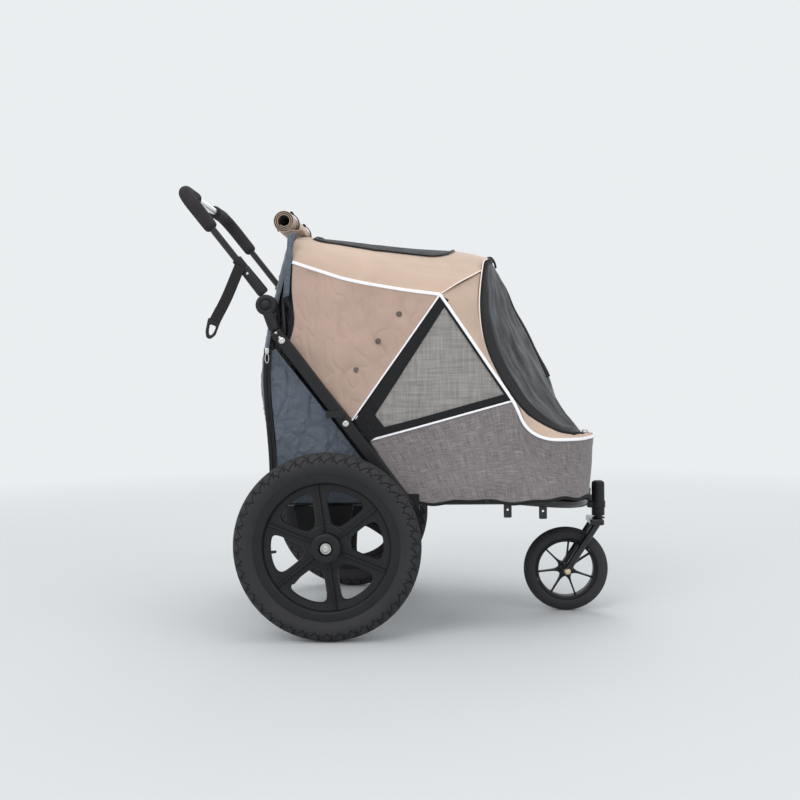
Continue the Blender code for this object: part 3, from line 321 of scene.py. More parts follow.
def sweep(path, profile, up, closed=False, size=None):
    """A profile carried along a path: path + side * across + height * over, over being up squared to it."""
    path = np.asarray(path, float)
    if closed:
        tangent = unit(np.roll(path, -1, axis=0) - np.roll(path, 1, axis=0))
    else:
        tangent = unit(np.gradient(path, axis=0))
    up = np.broadcast_to(np.asarray(up, float), path.shape)
    over = unit(up - tangent * (up * tangent).sum(-1, keepdims=True))
    across = np.cross(tangent, over)
    profile = np.broadcast_to(profile, (len(path), *np.shape(profile)[-2:]))
    if size is not None:
        profile = profile * np.asarray(size)[:, None, None]
    return path[:, None] + profile[..., 0:1] * across[:, None] + profile[..., 1:2] * over[:, None]


def turned(profile, centre, axis, steps=96):
    """A (radius, height) profile turned about an axis: centre + height * axis + radius * (cos, sin)."""
    axis = unit(axis)
    side = unit(np.cross(axis, [0.0, 0.0, 1.0] if abs(axis[2]) < 0.9 else [1.0, 0.0, 0.0]))
    other = np.cross(axis, side)
    angle = np.linspace(0, TAU, steps, endpoint=False)[:, None, None]
    radius, height = np.array(profile, float).T[:, None, :, None]
    return np.array(centre) + height * axis + radius * (np.cos(angle) * side + np.sin(angle) * other)


# ---------------------------------------------------------------- meshes
def patch(grid, around=False, along=False, caps=False, outward=None):
    """A grid's points, faces and UVs in metres; around closes its first parameter and along its second."""
    rows, columns = grid.shape[:2]
    index = np.arange(rows * columns).reshape(rows, columns)
    u = np.r_[0, np.cumsum(np.linalg.norm(np.diff(grid, axis=0), axis=-1).mean(1))]
    v = np.r_[0, np.cumsum(np.linalg.norm(np.diff(grid, axis=1), axis=-1).mean(0))]
    if around:
        index = np.vstack([index, index[:1]])
        u = np.r_[u, u[-1] + np.linalg.norm(grid[0] - grid[-1], axis=-1).mean()]
    if along:
        index = np.hstack([index, index[:, :1]])
        v = np.r_[v, v[-1] + np.linalg.norm(grid[:, 0] - grid[:, -1], axis=-1).mean()]
    uv = np.stack(np.meshgrid(u, v, indexing="ij"), axis=-1)
    corners = [np.s_[:-1, :-1], np.s_[1:, :-1], np.s_[1:, 1:], np.s_[:-1, 1:]]
    quads = np.stack([index[c] for c in corners], axis=-1).reshape(-1, 4)
    quad_uv = np.stack([uv[c] for c in corners], axis=-2).reshape(-1, 4, 2)
    points = grid.reshape(-1, 3)
    a, b, c, d = (points[quads[:, k]] for k in range(4))
    area = np.cross(c - a, d - b) / 2
    if outward is None:
        way = (((a + b + c + d) / 4 - points.mean(0)) * area).sum()
    else:
        way = area.sum(0) @ np.array(outward, float)
    ends = [index[0, :columns][::-1], index[-1, :columns]] if caps else []
    return {"points": points, "quads": quads, "uv": quad_uv, "caps": ends, "flip": way < 0}


def piece(name, patches, finish_name, merge=True, sharp=40):
    """One object of one or more patches, placed from the rear axle, with its poles and seams merged."""
    patches = [patches] if isinstance(patches, dict) else patches
    starts = np.cumsum([0] + [len(part["points"]) for part in patches])
    ways = [-1 if part["flip"] else 1 for part in patches]
    quads = np.vstack([start + part["quads"][:, ::way] for start, part, way in zip(starts, patches, ways)])
    uvs = np.vstack([part["uv"][:, ::way] for part, way in zip(patches, ways)])
    caps = [
        (start + cap[::way]).tolist()
        for start, part, way in zip(starts, patches, ways) for cap in part["caps"]
    ]
    points = np.vstack([part["points"] for part in patches]) + [AXLE_X, 0, 0]
    name = f"{name}_skin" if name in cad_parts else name
    mesh = bpy.data.meshes.new(name)
    mesh.from_pydata(points.tolist(), [], quads.tolist() + caps)
    layer = mesh.uv_layers.new(name="cut")
    layer.data.foreach_set("uv", np.r_[uvs.ravel(), np.zeros(2 * sum(map(len, caps)))])
    if merge:
        bm = bmesh.new()
        bm.from_mesh(mesh)
        bmesh.ops.remove_doubles(bm, verts=bm.verts, dist=2e-6)
        bmesh.ops.dissolve_degenerate(bm, edges=bm.edges, dist=1e-7)
        bm.to_mesh(mesh)
        bm.free()
    mesh.shade_smooth()
    mesh.set_sharp_from_angle(angle=math.radians(sharp))
    made = bpy.data.objects.new(name, mesh)
    bpy.context.scene.collection.objects.link(made)
    mesh.materials.append(finish(finish_name))
    return made


def thick(made, thickness=0.0016, offset=-1.0):
    """Gives a sheet its thickness, inwards from its outer face."""
    modifier = made.modifiers.new("thickness", "SOLIDIFY")
    modifier.thickness = thickness
    modifier.offset = offset
    return made


def fit(made, body, nodes=(), folds=False):
    """Puts a finished piece on its body and hides the frame's nodes it stands for; folds gives it a mesh of
    its own.
    """
    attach(made, body)
    if nodes:
        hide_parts(*nodes)
    if folds:
        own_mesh(made)
    return made


def knob(profile, corner, steps, centre, axis, sides):
    """A solid turned from a half outline that begins and ends on its axis, its corners rounded."""
    return patch(turned(softened(profile, corner, steps, closed=False), centre, axis, sides), around=True)


def tube(path, radius, up, sides=24):
    return patch(sweep(path, ring(radius, sides), up), along=True, caps=True)


def strip(path, up, half_width, half_height=0.0012, closed=False):
    return patch(
        sweep(path, tape(half_width, half_height), up, closed), around=closed, along=True, caps=not closed
    )


def bar(start, end, up, half_width, half_height, corner, steps=4):
    """A bar with rounded edges: each ring is a core rectangle pushed out by corner * cos(angle)."""
    start, end = np.array(start, float), np.array(end, float)
    quarter = np.linspace(0, math.pi / 2, steps + 1)
    angle = np.concatenate([quarter + k * math.pi / 2 for k in range(4)])
    signs = np.repeat([[1, 1], [-1, 1], [-1, -1], [1, -1]], steps + 1, axis=0)
    core = signs * [half_width - corner, half_height - corner]
    ways = np.stack([np.cos(angle), np.sin(angle)], axis=1)
    rise = np.r_[-quarter[::-1], quarter]
    profile = core[None] + ways[None] * (corner * np.cos(rise))[:, None, None]
    length = np.linalg.norm(end - start)
    reach = np.where(np.arange(len(rise)) <= steps, corner, length - corner) + corner * np.sin(rise)
    path = start + unit(end - start) * reach[:, None]
    tangent = unit(end - start)
    over = unit(np.array(up, float) - tangent * (np.array(up) @ tangent))
    across = np.cross(tangent, over)
    grid = path[:, None] + profile[..., 0:1] * across + profile[..., 1:2] * over
    return patch(grid, along=True, caps=True)


def along(angle, distance, start=PIVOT):
    """The (x, z) point at a distance from a start, in a direction measured from +X towards +Z."""
    return start[0] + distance * math.cos(angle), start[1] + distance * math.sin(angle)


def handle_at(distance):
    return along(HANDLE_ANGLE, distance, HANDLE_POINT)


def in_plane(points, y):
    """(x, z) points stood up at a distance y from the middle."""
    points = np.array(points, float)
    return np.stack([points[:, 0], np.full(len(points), y), points[:, 1]], axis=1)


# ---------------------------------------------------------------- shader maths
class Value:
    """A node's output that Python's operators can work on."""

    def __init__(self, graph, socket):
        self.graph, self.socket = graph, socket

    def __add__(self, other):
        return self.graph.maths("ADD", self, other)

    def __sub__(self, other):
        return self.graph.maths("SUBTRACT", self, other)

    def __rsub__(self, other):
        return self.graph.maths("SUBTRACT", other, self)

    def __mul__(self, other):
        return self.graph.maths("MULTIPLY", self, other)

    def __pow__(self, other):
        return self.graph.maths("POWER", self, other)

    __radd__ = __add__
    __rmul__ = __mul__


class Finish:
    """A material and its nodes: constants go on the shader's sockets, what varies is linked with set()."""

    def __init__(self, name, **constants):
        self.material = bpy.data.materials.new(name)
        self.material.use_nodes = True
        self.tree = self.material.node_tree
        self.shader = self.tree.nodes["Principled BSDF"]
        for socket, value in constants.items():
            self.shader.inputs[socket.replace("_", " ")].default_value = value

    def node(self, kind, settings, inputs, output=0):
        """A node of a type, its settings first, then the values or links of its sockets."""
        made = self.tree.nodes.new(kind)
        for key, value in settings.items():
            setattr(made, key, value)
        for socket, value in inputs.items() if isinstance(inputs, dict) else enumerate(inputs):
            if isinstance(value, Value):
                self.tree.links.new(value.socket, made.inputs[socket])
            else:
                made.inputs[socket].default_value = value
        return Value(self, made.outputs[output])

    def maths(self, operation, *values):
        return self.node("ShaderNodeMath", {"operation": operation}, values)

    def object_place(self):
        return self.node("ShaderNodeTexCoord", {}, {}, "Object")

    def cut(self):
        """The two distances across a piece of cloth, in metres, from its UV map."""
        uv = self.node("ShaderNodeTexCoord", {}, {}, "UV")
        return [self.node("ShaderNodeSeparateXYZ", {}, [uv], axis) for axis in "XY"]

    def noise(self, scale, detail=2.0, stretch=(1.0, 1.0, 1.0), source=None):
        vector = source or self.object_place()
        vector = self.node("ShaderNodeMapping", {}, {"Vector": vector, "Scale": stretch})
        return self.node(
            "ShaderNodeTexNoise", {}, {"Vector": vector, "Scale": scale, "Detail": detail}, "Fac"
        )

    def between(self, value, low, high):
        """0 below low, 1 above high."""
        return self.node("ShaderNodeMapRange", {}, {"Value": value, "From Min": low, "From Max": high})

    def mix(self, factor, first, second):
        first, second = (
            (*c, 1.0) if isinstance(c, (tuple, list)) and len(c) == 3 else c for c in (first, second)
        )
        return self.node("ShaderNodeMix", {"data_type": "RGBA"}, {0: factor, 6: first, 7: second}, 2)

    def wave(self, distance, pitch):
        """A sine from 0 to 1 that repeats every pitch."""
        return self.maths("SINE", distance * (TAU / pitch)) * 0.5 + 0.5

    def bump(self, height, distance, strength=1.0):
        self.set(
            Normal=self.node(
                "ShaderNodeBump",
                {},
                {"Strength": strength, "Distance": distance, "Height": height},
                "Normal",
            )
        )

    def set(self, **sockets):
        for socket, value in sockets.items():
            self.tree.links.new(value.socket, self.shader.inputs[socket.replace("_", " ")])


def shade(colour, amount):
    return tuple(min(1.0, c * amount) for c in colour)


def plain_weave(name, colour, sheen=0.15, roughness=0.88, pitch=0.0009, relief=0.00025):
    """Closely woven cloth: crossing threads, with slow changes of tone."""
    made = Finish(name, Roughness=roughness, Sheen_Weight=sheen, Sheen_Roughness=0.6)
    u, v = made.cut()
    threads = made.wave(u, pitch) * made.wave(v, pitch)
    cloud = made.between(made.noise(11.0, 4.0), 0.35, 0.68)
    fibre = made.noise(900.0, 2.0)
    tone = made.mix(cloud, shade(colour, 0.93), shade(colour, 1.06))
    made.set(Base_Color=made.mix(threads * 0.16 + fibre * 0.12, tone, shade(colour, 0.72)))
    made.set(Roughness=fibre * 0.12 + (roughness - 0.06))
    made.bump(threads * 0.7 + made.noise(160.0, 3.0) * 0.9, relief)
    return made.material


def melange(name, light, dark):
    """Two-tone linen look: threads of uneven tone both ways, with thick slubs."""
    made = Finish(name, Roughness=0.92, Sheen_Weight=0.1)
    uv = made.node("ShaderNodeTexCoord", {}, {}, "UV")
    u, v = made.cut()
    warp = made.noise(1.0, 3.0, (38.0, 720.0, 1.0), uv)
    weft = made.noise(1.0, 3.0, (640.0, 30.0, 1.0), uv)
    slub = made.between(made.noise(1.0, 2.0, (24.0, 330.0, 1.0), uv), 0.60, 0.74)
    slub_up = made.between(made.noise(1.0, 2.0, (300.0, 22.0, 1.0), uv), 0.62, 0.76)
    mixed = made.between(warp * 0.5 + weft * 0.5, 0.36, 0.64)
    cloud = made.between(made.noise(6.0, 3.0), 0.3, 0.7)
    tone = made.mix(mixed, dark, light)
    tone = made.mix(slub * 0.55, tone, shade(light, 1.35))
    tone = made.mix(slub_up * 0.45, tone, shade(dark, 0.7))
    made.set(Base_Color=made.mix(cloud * 0.25, tone, shade(light, 1.05)))
    made.bump(warp * 0.6 + weft * 0.6 + made.wave(u, 0.0011) * made.wave(v, 0.0011) * 0.5, 0.0004)
    return made.material


def nylon(name, colour):
    """Coated nylon: a satin face with sharp little creases."""
    made = Finish(name, Roughness=0.42, Sheen_Weight=0.25, Sheen_Roughness=0.4)
    u, v = made.cut()
    crease = 1 - made.maths("ABSOLUTE", made.noise(26.0, 3.0, (1.0, 1.0, 0.55)) * 2.0 - 1.0)
    cloud = made.noise(14.0, 3.0)
    made.set(Base_Color=made.mix(cloud, shade(colour, 0.72), shade(colour, 1.35)))
    made.set(Roughness=cloud * 0.25 + 0.30)
    made.bump(crease**6 * 0.8 + cloud * 0.8 + made.wave(u, 0.0010) * made.wave(v, 0.0010) * 0.05, 0.0030)
    return made.material


def netting(
    name, colour, pitch, solid, sheen_and_thread_contrast=0.25, upright=False, streaks=(260.0, 22.0, 1.0), roughness=0.75
):
    """Warp-knit net: holes between the threads, so that what lies behind shows through."""
    made = Finish(name, Roughness=roughness, Specular_IOR_Level=0.3)
    u, v = made.cut()
    if upright:
        u, v = (made.node("ShaderNodeSeparateXYZ", {}, [made.object_place()], axis) for axis in "XZ")
    across, up = made.wave(u, pitch), made.wave(v, pitch)
    hole = made.between(across * up, 0.20, 0.55)
    place = made.object_place() if upright else made.node("ShaderNodeTexCoord", {}, {}, "UV")
    sheen_and_thread_streaks = made.noise(1.0, 2.0, (230.0, 230.0, 16.0) if upright else streaks, place)
    if upright:
        sheen_and_thread_streaks = sheen_and_thread_streaks * 0.5 + made.noise(1.0, 2.0, (16.0, 16.0, 230.0), place) * 0.5
    cloud = made.noise(16.0, 2.0)
    # Streaks of lighter and darker tone: on the door's net they are painted sheen; on the window's net they
    # follow its crossing threads.
    tone = made.mix(made.between(sheen_and_thread_streaks, 0.35, 0.65), shade(colour, 1 - sheen_and_thread_contrast), shade(colour, 1 + sheen_and_thread_contrast))
    made.set(Base_Color=made.mix(cloud * 0.4, tone, shade(colour, 0.7)))
    made.set(Alpha=1 - hole * (1 - solid))
    made.bump(across + up, 0.0003)
    return made.material


def moulded(name, colour, roughness, grain=700.0, relief=0.00012, coat=0.0):
    """Moulded plastic, painted steel or rubber: a fine grain and slow changes of gloss."""
    made = Finish(name, Coat_Weight=coat, Coat_Roughness=0.12, Specular_IOR_Level=0.3)
    cloud = made.between(made.noise(22.0, 4.0), 0.3, 0.7)
    fine = made.noise(grain, 2.0)
    made.set(Base_Color=made.mix(cloud, shade(colour, 0.8), shade(colour, 1.25)))
    made.set(Roughness=cloud * 0.12 + fine * 0.08 + (roughness - 0.1))
    made.bump(fine, relief)
    return made.material


def metal(name, colour, roughness, stretch=(1.0, 1.0, 1.0)):
    """Bright metal with fine drawn lines."""
    made = Finish(name, Metallic=1.0)
    lines = made.noise(380.0, 3.0, stretch)
    cloud = made.noise(30.0, 3.0)
    made.set(Base_Color=made.mix(cloud, shade(colour, 0.85), shade(colour, 1.1)))
    made.set(Roughness=lines * 0.18 + (roughness - 0.06))
    made.bump(lines, 0.00006)
    return made.material


def tyre_rubber(name):
    """Dusty black rubber, with painted shade darkening the tread's grooves."""
    made = Finish(name, Roughness=0.78, Specular_IOR_Level=0.25)
    dust = made.between(made.noise(18.0, 5.0), 0.30, 0.75)
    speck = made.noise(520.0, 3.0)
    groove = made.node("ShaderNodeAttribute", {"attribute_name": "groove"}, {}, "Fac")
    rubber = made.mix(dust * 0.25 + speck * 0.3, (0.020, 0.020, 0.022), (0.050, 0.049, 0.054))
    # Painted shade: the groove attribute darkens the rubber in the tread's grooves.
    made.set(Base_Color=made.mix(groove * 0.85, rubber, (0.004, 0.004, 0.005)))
    made.set(Roughness=dust * 0.10 + 0.58)
    made.bump(speck + made.noise(90.0, 3.0), 0.0002)
    return made.material


def foam(name):
    """Closed-cell foam: a matt skin of tiny pores."""
    made = Finish(name, Roughness=0.93, Specular_IOR_Level=0.2)
    pores = made.node(
        "ShaderNodeTexVoronoi", {}, {"Vector": made.object_place(), "Scale": 620.0}, "Distance"
    )
    cloud = made.noise(40.0, 3.0)
    made.set(Base_Color=made.mix(cloud, (0.020, 0.018, 0.020), (0.042, 0.039, 0.042)))
    made.bump(pores + made.noise(1400.0, 2.0) * 0.5, 0.0005)
    return made.material


def ribbed(name, colour, pitch, relief=0.0004, along_length=True, roughness=0.8):
    """Webbing, tape or zip teeth: ridges at a pitch across or along the piece."""
    made = Finish(name, Roughness=roughness, Specular_IOR_Level=0.3)
    u, v = made.cut()
    ridge = made.wave(u if along_length else v, pitch)
    fine = made.wave(v if along_length else u, pitch * 0.6)
    made.set(
        Base_Color=made.mix(ridge * 0.6 + made.noise(500.0) * 0.3, shade(colour, 0.6), shade(colour, 1.5))
    )
    made.bump(ridge + fine * 0.4, relief)
    return made.material


def bright_tape(name):
    """White reflective tape: tiny beads, with painted shade for its creases as soft grey patches."""
    made = Finish(name, Roughness=0.42, Sheen_Weight=0.2)
    u, v = made.cut()
    beads = made.wave(u, 0.0012) * made.wave(v, 0.0012)
    painted_crease_shade = made.between(made.noise(70.0, 3.0), 0.45, 0.8)
    # Painted shade: grey patches standing for the tape's creases.
    made.set(Base_Color=made.mix(painted_crease_shade * 0.35 + beads * 0.1, (0.93, 0.92, 0.95), (0.70, 0.68, 0.72)))
    made.bump(beads, 0.0002)
    return made.material


def quilted(name, colour):
    """Soft brushed cloth of the floor mat."""
    made = Finish(name, Roughness=0.95, Sheen_Weight=0.35)
    fuzz = made.noise(420.0, 4.0)
    made.set(Base_Color=made.mix(fuzz, shade(colour, 0.7), shade(colour, 1.4)))
    made.bump(fuzz + made.noise(60.0, 3.0), 0.0008)
    return made.material


def cloth_colour(name):
    return tuple(getattr(bpy.context.scene.stroller_cloth, name))


FINISHES = {
    "beige_cloth": lambda n: plain_weave(
        n, cloth_colour("beige"), pitch=bpy.context.scene.stroller_cloth.pitch
    ),
    "cream_cloth": lambda n: plain_weave(
        n, cloth_colour("cream"), pitch=bpy.context.scene.stroller_cloth.pitch
    ),
    "cover_lining": lambda n: plain_weave(n, (0.090, 0.048, 0.034)),
    "melange_cloth": lambda n: melange(n, cloth_colour("grey_light"), cloth_colour("grey_dark")),
    "slate_nylon": lambda n: nylon(n, cloth_colour("slate")),
    "window_net": lambda n: netting(n, cloth_colour("net"), 0.0026, 0.62, 0.3, upright=True),
    "dark_net": lambda n: netting(n, (0.040, 0.042, 0.045), 0.0018, 0.55, 0.35),
    # The door's net: strong lengthwise streaks of painted sheen.
    "door_net": lambda n: netting(
        n, (0.085, 0.088, 0.092), 0.0018, 0.72, 0.7, False, (11.0, 95.0, 1.0), 0.38
    ),
    "black_binding": lambda n: ribbed(n, (0.011, 0.011, 0.012), 0.0013, 0.0003),
    "zip_tape": lambda n: ribbed(n, (0.013, 0.013, 0.015), 0.0026, 0.0007, roughness=0.5),
    "bright_tape": bright_tape,
    "seam_tape": lambda n: plain_weave(n, (0.86, 0.74, 0.66)),
    "webbing": lambda n: ribbed(n, (0.018, 0.017, 0.018), 0.0022, 0.0006),
    "frame_black": lambda n: moulded(n, (0.008, 0.008, 0.009), 0.22, 300.0, 0.00003, coat=0.4),
    "frame_matt": lambda n: moulded(n, (0.009, 0.009, 0.010), 0.48, 900.0, 0.00010),
    "moulded_black": lambda n: moulded(n, (0.012, 0.012, 0.013), 0.52, 800.0, 0.00014),
    "wheel_black": lambda n: moulded(n, (0.010, 0.010, 0.011), 0.50, 650.0, 0.00016),
    "steel": lambda n: metal(n, (0.62, 0.61, 0.60), 0.30),
    "yellow_zinc": lambda n: metal(n, (0.72, 0.60, 0.40), 0.32),
    "bare_tube": lambda n: metal(n, (0.78, 0.78, 0.80), 0.28, (1.0, 0.05, 1.0)),
    "snap_metal": lambda n: metal(n, (0.20, 0.17, 0.15), 0.36),
    "tyre_rubber": tyre_rubber,
    "foam_grip": foam,
    "floor_board": lambda n: moulded(n, (0.060, 0.060, 0.065), 0.75, 240.0, 0.0003),
    "mat_cloth": lambda n: quilted(n, (0.150, 0.150, 0.165)),
}


def finish(name):
    return bpy.data.materials.get(f"stroller_{name}") or FINISHES[name](f"stroller_{name}")


# ---------------------------------------------------------------- fabric
def build_side_panel(side, sign):
    """The beige panel: a Coons surface between rail, roof, back and window, softly wrinkled."""
    steps = 110
    edges = [[RAIL_TOP_CORNER, RAIL_LOW_CORNER], ROOF_SIDE, PANEL_REAR, [RAIL_LOW_CORNER, APEX]]
    grid = between_four(*(spline_through(edge, steps) for edge in edges))
    u, v = np.linspace(0, 1, steps)[:, None], np.linspace(0, 1, steps)[None, :]
    grid[..., 1] += 0.0030 * 16 * u * (1 - u) * v * (1 - v)
    height = bpy.context.scene.stroller_cloth.wrinkle
    grid = wrinkled(grid, height, 0.085, 11, (1.3, 1, 0.6), 0.45, 0.10)
    grid = wrinkled(grid, height * 0.45, 0.030, 17, (1.0, 1, 0.7), 0.7, 0.06)
    made = piece(f"side_panel_{side}", patch(grid * [1, sign, 1], outward=(0, sign, 0)), "beige_cloth")
    fit(thick(made), "chassis", [f"side_panel_{side}"], folds=True)

    snaps = []
    for x, z in ((0.1569, 0.7025), (0.1099, 0.6440), (0.0605, 0.5809)):
        near = np.linalg.norm(grid[..., [0, 2]] - [x, z], axis=-1)
        y = grid[..., 1].ravel()[near.argmin()]
        profile = softened(
            [
                (0, 0.0020), (0.0030, 0.0020), (0.0033, 0.0010), (0.0042, 0.0010), (0.0048, 0.0024),
                (0.0062, 0.0020), (0.0066, -0.0008),
            ],
            0.0007,
            3,
            closed=False,
        )
        snaps.append(patch(turned(profile, (x, sign * y, z), (0, sign, 0), 32), around=True))
    fit(piece(f"snap_buttons_{side}", snaps, "snap_metal"), "chassis", folds=True)


def build_window(side, sign):
    """The netting window and the black tapes round it."""
    steps = 60
    rear = spline_through([WINDOW_LOW, APEX], steps)
    front = spline_through([BAND_FRONT, APEX_FRONT], steps)
    bottom = spline_through(
        [WINDOW_LOW, (0.090, CABIN_Y, 0.4270), (0.190, CABIN_Y, 0.4530), BAND_FRONT], steps
    )
    grid = between_four(bottom, spline_through([APEX, APEX_FRONT], steps), rear, front)
    grid = wrinkled(grid, 0.0008, 0.11, 23, fade=0.15)
    made = piece(f"side_window_{side}", patch(grid * [1, sign, 1], outward=(0, sign, 0)), "window_net")
    fit(made, "chassis", [f"side_window_{side}"], folds=True)

    def inside(path, reach):
        """The path moved towards the window's middle."""
        path = np.array(path, float)
        way = unit(np.gradient(path, axis=0))
        square = np.stack([way[:, 2], 0 * way[:, 1], -way[:, 0]], axis=1)
        flip = np.sign((np.array([0.235, CABIN_Y, 0.560]) - path[len(path) // 2]) @ square[len(path) // 2])
        return path + square * flip * reach

    flat = (0, 1, 0)
    lift = np.array([0, 0.0006, 0])
    tapes = [
        (inside(spline_through([(0.054, CABIN_Y, 0.4670), APEX], 40), 0.0088), 0.0085),
        (inside(rear, 0.0125), 0.0105),
        (
            inside(
                spline_through(
                    [
                        (0.078, CABIN_Y, 0.4245),
                        (0.190, CABIN_Y, 0.4518),
                        (0.300, CABIN_Y, 0.4812),
                        BAND_FRONT,
                    ],
                    40,
                ),
                0.0105,
            ),
            0.0085,
        ),
        (inside(front, 0.0052), 0.0030),
        (spline_through([(0.0830, CABIN_Y, 0.4840), (0.1135, CABIN_Y, 0.4440)], 12), 0.0125),
        (spline_through([(0.0660, CABIN_Y, 0.4660), (0.0960, CABIN_Y, 0.4280)], 12), 0.0110),
    ]
    parts = [
        strip((path + lift * (1 + 0.5 * k)) * [1, sign, 1], np.array(flat) * sign, width, 0.0009)
        for k, (path, width) in enumerate(tapes)
    ]
    made = piece(f"window_tape_{side}", parts, "black_binding")
    fit(made, "chassis", folds=True)


def radial_up(path, lift=0.2):
    """Directions outwards from the cabin's middle, level with each point."""
    centre = np.array([0.28, 0.0, 0.0])
    away = (path - centre) * [1, 1, 0]
    away[:, 0] = np.maximum(away[:, 0], 0) * np.clip((path[:, 0] - 0.43) / 0.1, 0, 1)
    return unit(unit(away) + [0, 0, lift])


def build_piping():
    """The white tapes along the cabin's seams."""
    outer = mirrored(spline_through(PIPING, 130))
    side_band = spline_through(
        [BAND_REAR, (0.190, CABIN_Y, 0.4518), (0.300, CABIN_Y, 0.4812), BAND_FRONT], 40
    )
    for name, path, width in (
        ("roof_edge", spline_through(ROOF_SIDE, 50), 0.0036),
        ("window_rear", spline_through([RAIL_LOW_CORNER, APEX], 40), 0.0019),
        ("band_top", side_band, 0.0022),
    ):
        for side, sign in SIDES:
            up = np.array([0, sign, 0.0])
            made = piece(
                f"piping_{name}_{side}",
                strip((path + [0, 0.0012, 0]) * [1, sign, 1], up, width, 0.0013),
                "bright_tape",
            )
            fit(made, "chassis", folds=True)
    up = radial_up(outer)
    made = piece("piping_front", strip(outer + up * 0.0012, up, 0.0034, 0.0014), "bright_tape")
    fit(made, "chassis", folds=True)
    for side, sign in SIDES:
        seam = spline_through(FRONT_SEAM, 30) * [1, sign, 1]
        made = piece(
            f"roof_seam_{side}",
            strip(seam + [0, 0, 0.0006], (0, sign * 0.5, 0.85), 0.0016, 0.0008),
            "seam_tape",
        )
        fit(made, "chassis", folds=True)


def build_band():
    """The melange band round the tub, its lower edge bound in black and pulled into shallow waves."""
    steps, rows = 150, 44
    top, bottom = mirrored(spline_through(BAND_TOP, steps)), mirrored(spline_through(BAND_BOTTOM, steps))
    length = np.r_[0, np.cumsum(np.linalg.norm(np.diff(bottom, axis=0), axis=1))]
    middle = length[-1] / 2
    reach = np.abs(length - middle)
    bottom[:, 2] += 0.0030 + 0.0030 * np.sin(
        reach * TAU / 0.19 + 0.9
    ) + 0.0018 * np.sin(reach * TAU / 0.085)
    share = np.linspace(0, 1, rows)[None, :, None]
    grid = bottom[:, None] * (1 - share) + top[:, None] * share
    grid = wrinkled(grid, 0.0013, 0.12, 31, (0.8, 0.8, 1.3), 0.35, 0.08)
    grid = wrinkled(grid, 0.0006, 0.030, 37, (1.6, 1.6, 0.5), 0.8, 0.05)
    made = piece("tub_wall", patch(grid, outward=(1, 0, 0)), "melange_cloth")
    fit(thick(made), "chassis", ["tub_wall"], folds=True)

    up = radial_up(bottom, 0.0)
    made = piece(
        "tub_binding", strip(bottom + up * 0.0006 - [0, 0, 0.0010], up, 0.0034, 0.0014), "black_binding"
    )
    fit(made, "chassis")
    eyelets = []
    profile = softened(
        [(0, 0.0030), (0.0028, 0.0030), (0.0045, 0.0022), (0.0050, 0.0)], 0.0008, 3, closed=False
    )
    for _, sign in SIDES:
        spot = (0.345, sign * (CABIN_Y + 0.0012), 0.2885)
        eyelets.append(patch(turned(profile, spot, (0, sign, 0), 24), around=True))
    fit(piece("band_rivets", eyelets, "moulded_black"), "chassis")


def roof_surface(steps, across):
    """The whole roof: a Coons surface on the left half and its mirror image."""
    half = between_four(
        spline_through(ROOF_SIDE, steps),
        spline_through(ROOF_MIDDLE, steps),
        spline_through(ROOF_BACK, across),
        spline_through(ROOF_FRONT, across),
    )
    return np.concatenate([half, half[:, -2::-1] * [1, -1, 1]], axis=1)


def build_roof():
    surface = roof_surface(160, 121)
    surface = wrinkled(surface, 0.0012, 0.10, 41, (0.5, 1.6, 1.0), 0.5, 0.08)
    count = 240
    corners = [(0.085, 0.245), (0.795, 0.318), (0.795, 0.682), (0.085, 0.755)]
    hole = softened(corners, (0.05, 0.12, 0.12, 0.05), 12)
    hole = even(np.vstack([hole, hole[:1]]), count + 1)[:-1]
    centre = np.array([0.44, 0.5])
    way = hole - centre
    reach = np.minimum(
        np.where(
            way[:, 0] > 0,
            (1 - centre[0]) / np.maximum(way[:, 0], 1e-9),
            centre[0] / np.maximum(-way[:, 0], 1e-9),
        ),
        np.where(
            way[:, 1] > 0,
            (1 - centre[1]) / np.maximum(way[:, 1], 1e-9),
            centre[1] / np.maximum(-way[:, 1], 1e-9),
        ),
    )
    rim = centre + way * reach[:, None]
    for corner in ((0, 0), (0, 1), (1, 0), (1, 1)):
        rim[np.linalg.norm(rim - corner, axis=1).argmin()] = corner
    share = np.linspace(0, 1, 46)[None, :, None]
    flat = hole[:, None] * (1 - share) + rim[:, None] * share
    made = piece(
        "roof_panel",
        patch(on_grid(surface, flat[..., 0], flat[..., 1]), around=True, outward=(0, 0, 1)),
        "cream_cloth",
    )
    fit(thick(made), "chassis", ["roof_panel"], folds=True)

    share = np.linspace(0.02, 1, 30)[None, :, None]
    inner = centre + (hole[:, None] - centre) * share
    net = on_grid(surface, inner[..., 0], inner[..., 1])
    net[..., 2] -= 0.006 * (1 - share[..., 0] ** 2)
    made = piece("roof_mesh", patch(net, around=True, outward=(0, 0, 1)), "dark_net")
    fit(made, "chassis", ["roof_mesh"], folds=True)

    normal = np.array([0, 0, 1.0])
    edge = on_grid(surface, hole[:, 0], hole[:, 1])
    made = piece(
        "roof_zip", [strip(edge + normal * 0.0012, normal, 0.0052, 0.0010, closed=True)], "zip_tape"
    )
    fit(made, "chassis", folds=True)
    coil = centre + (hole - centre) * 1.004
    line = on_grid(surface, coil[:, 0], coil[:, 1]) + normal * 0.0024
    made = piece(
        "roof_zip_coil",
        patch(sweep(line, ring(0.0016, 12), normal, closed=True), around=True, along=True),
        "black_binding",
    )
    fit(made, "chassis", folds=True)


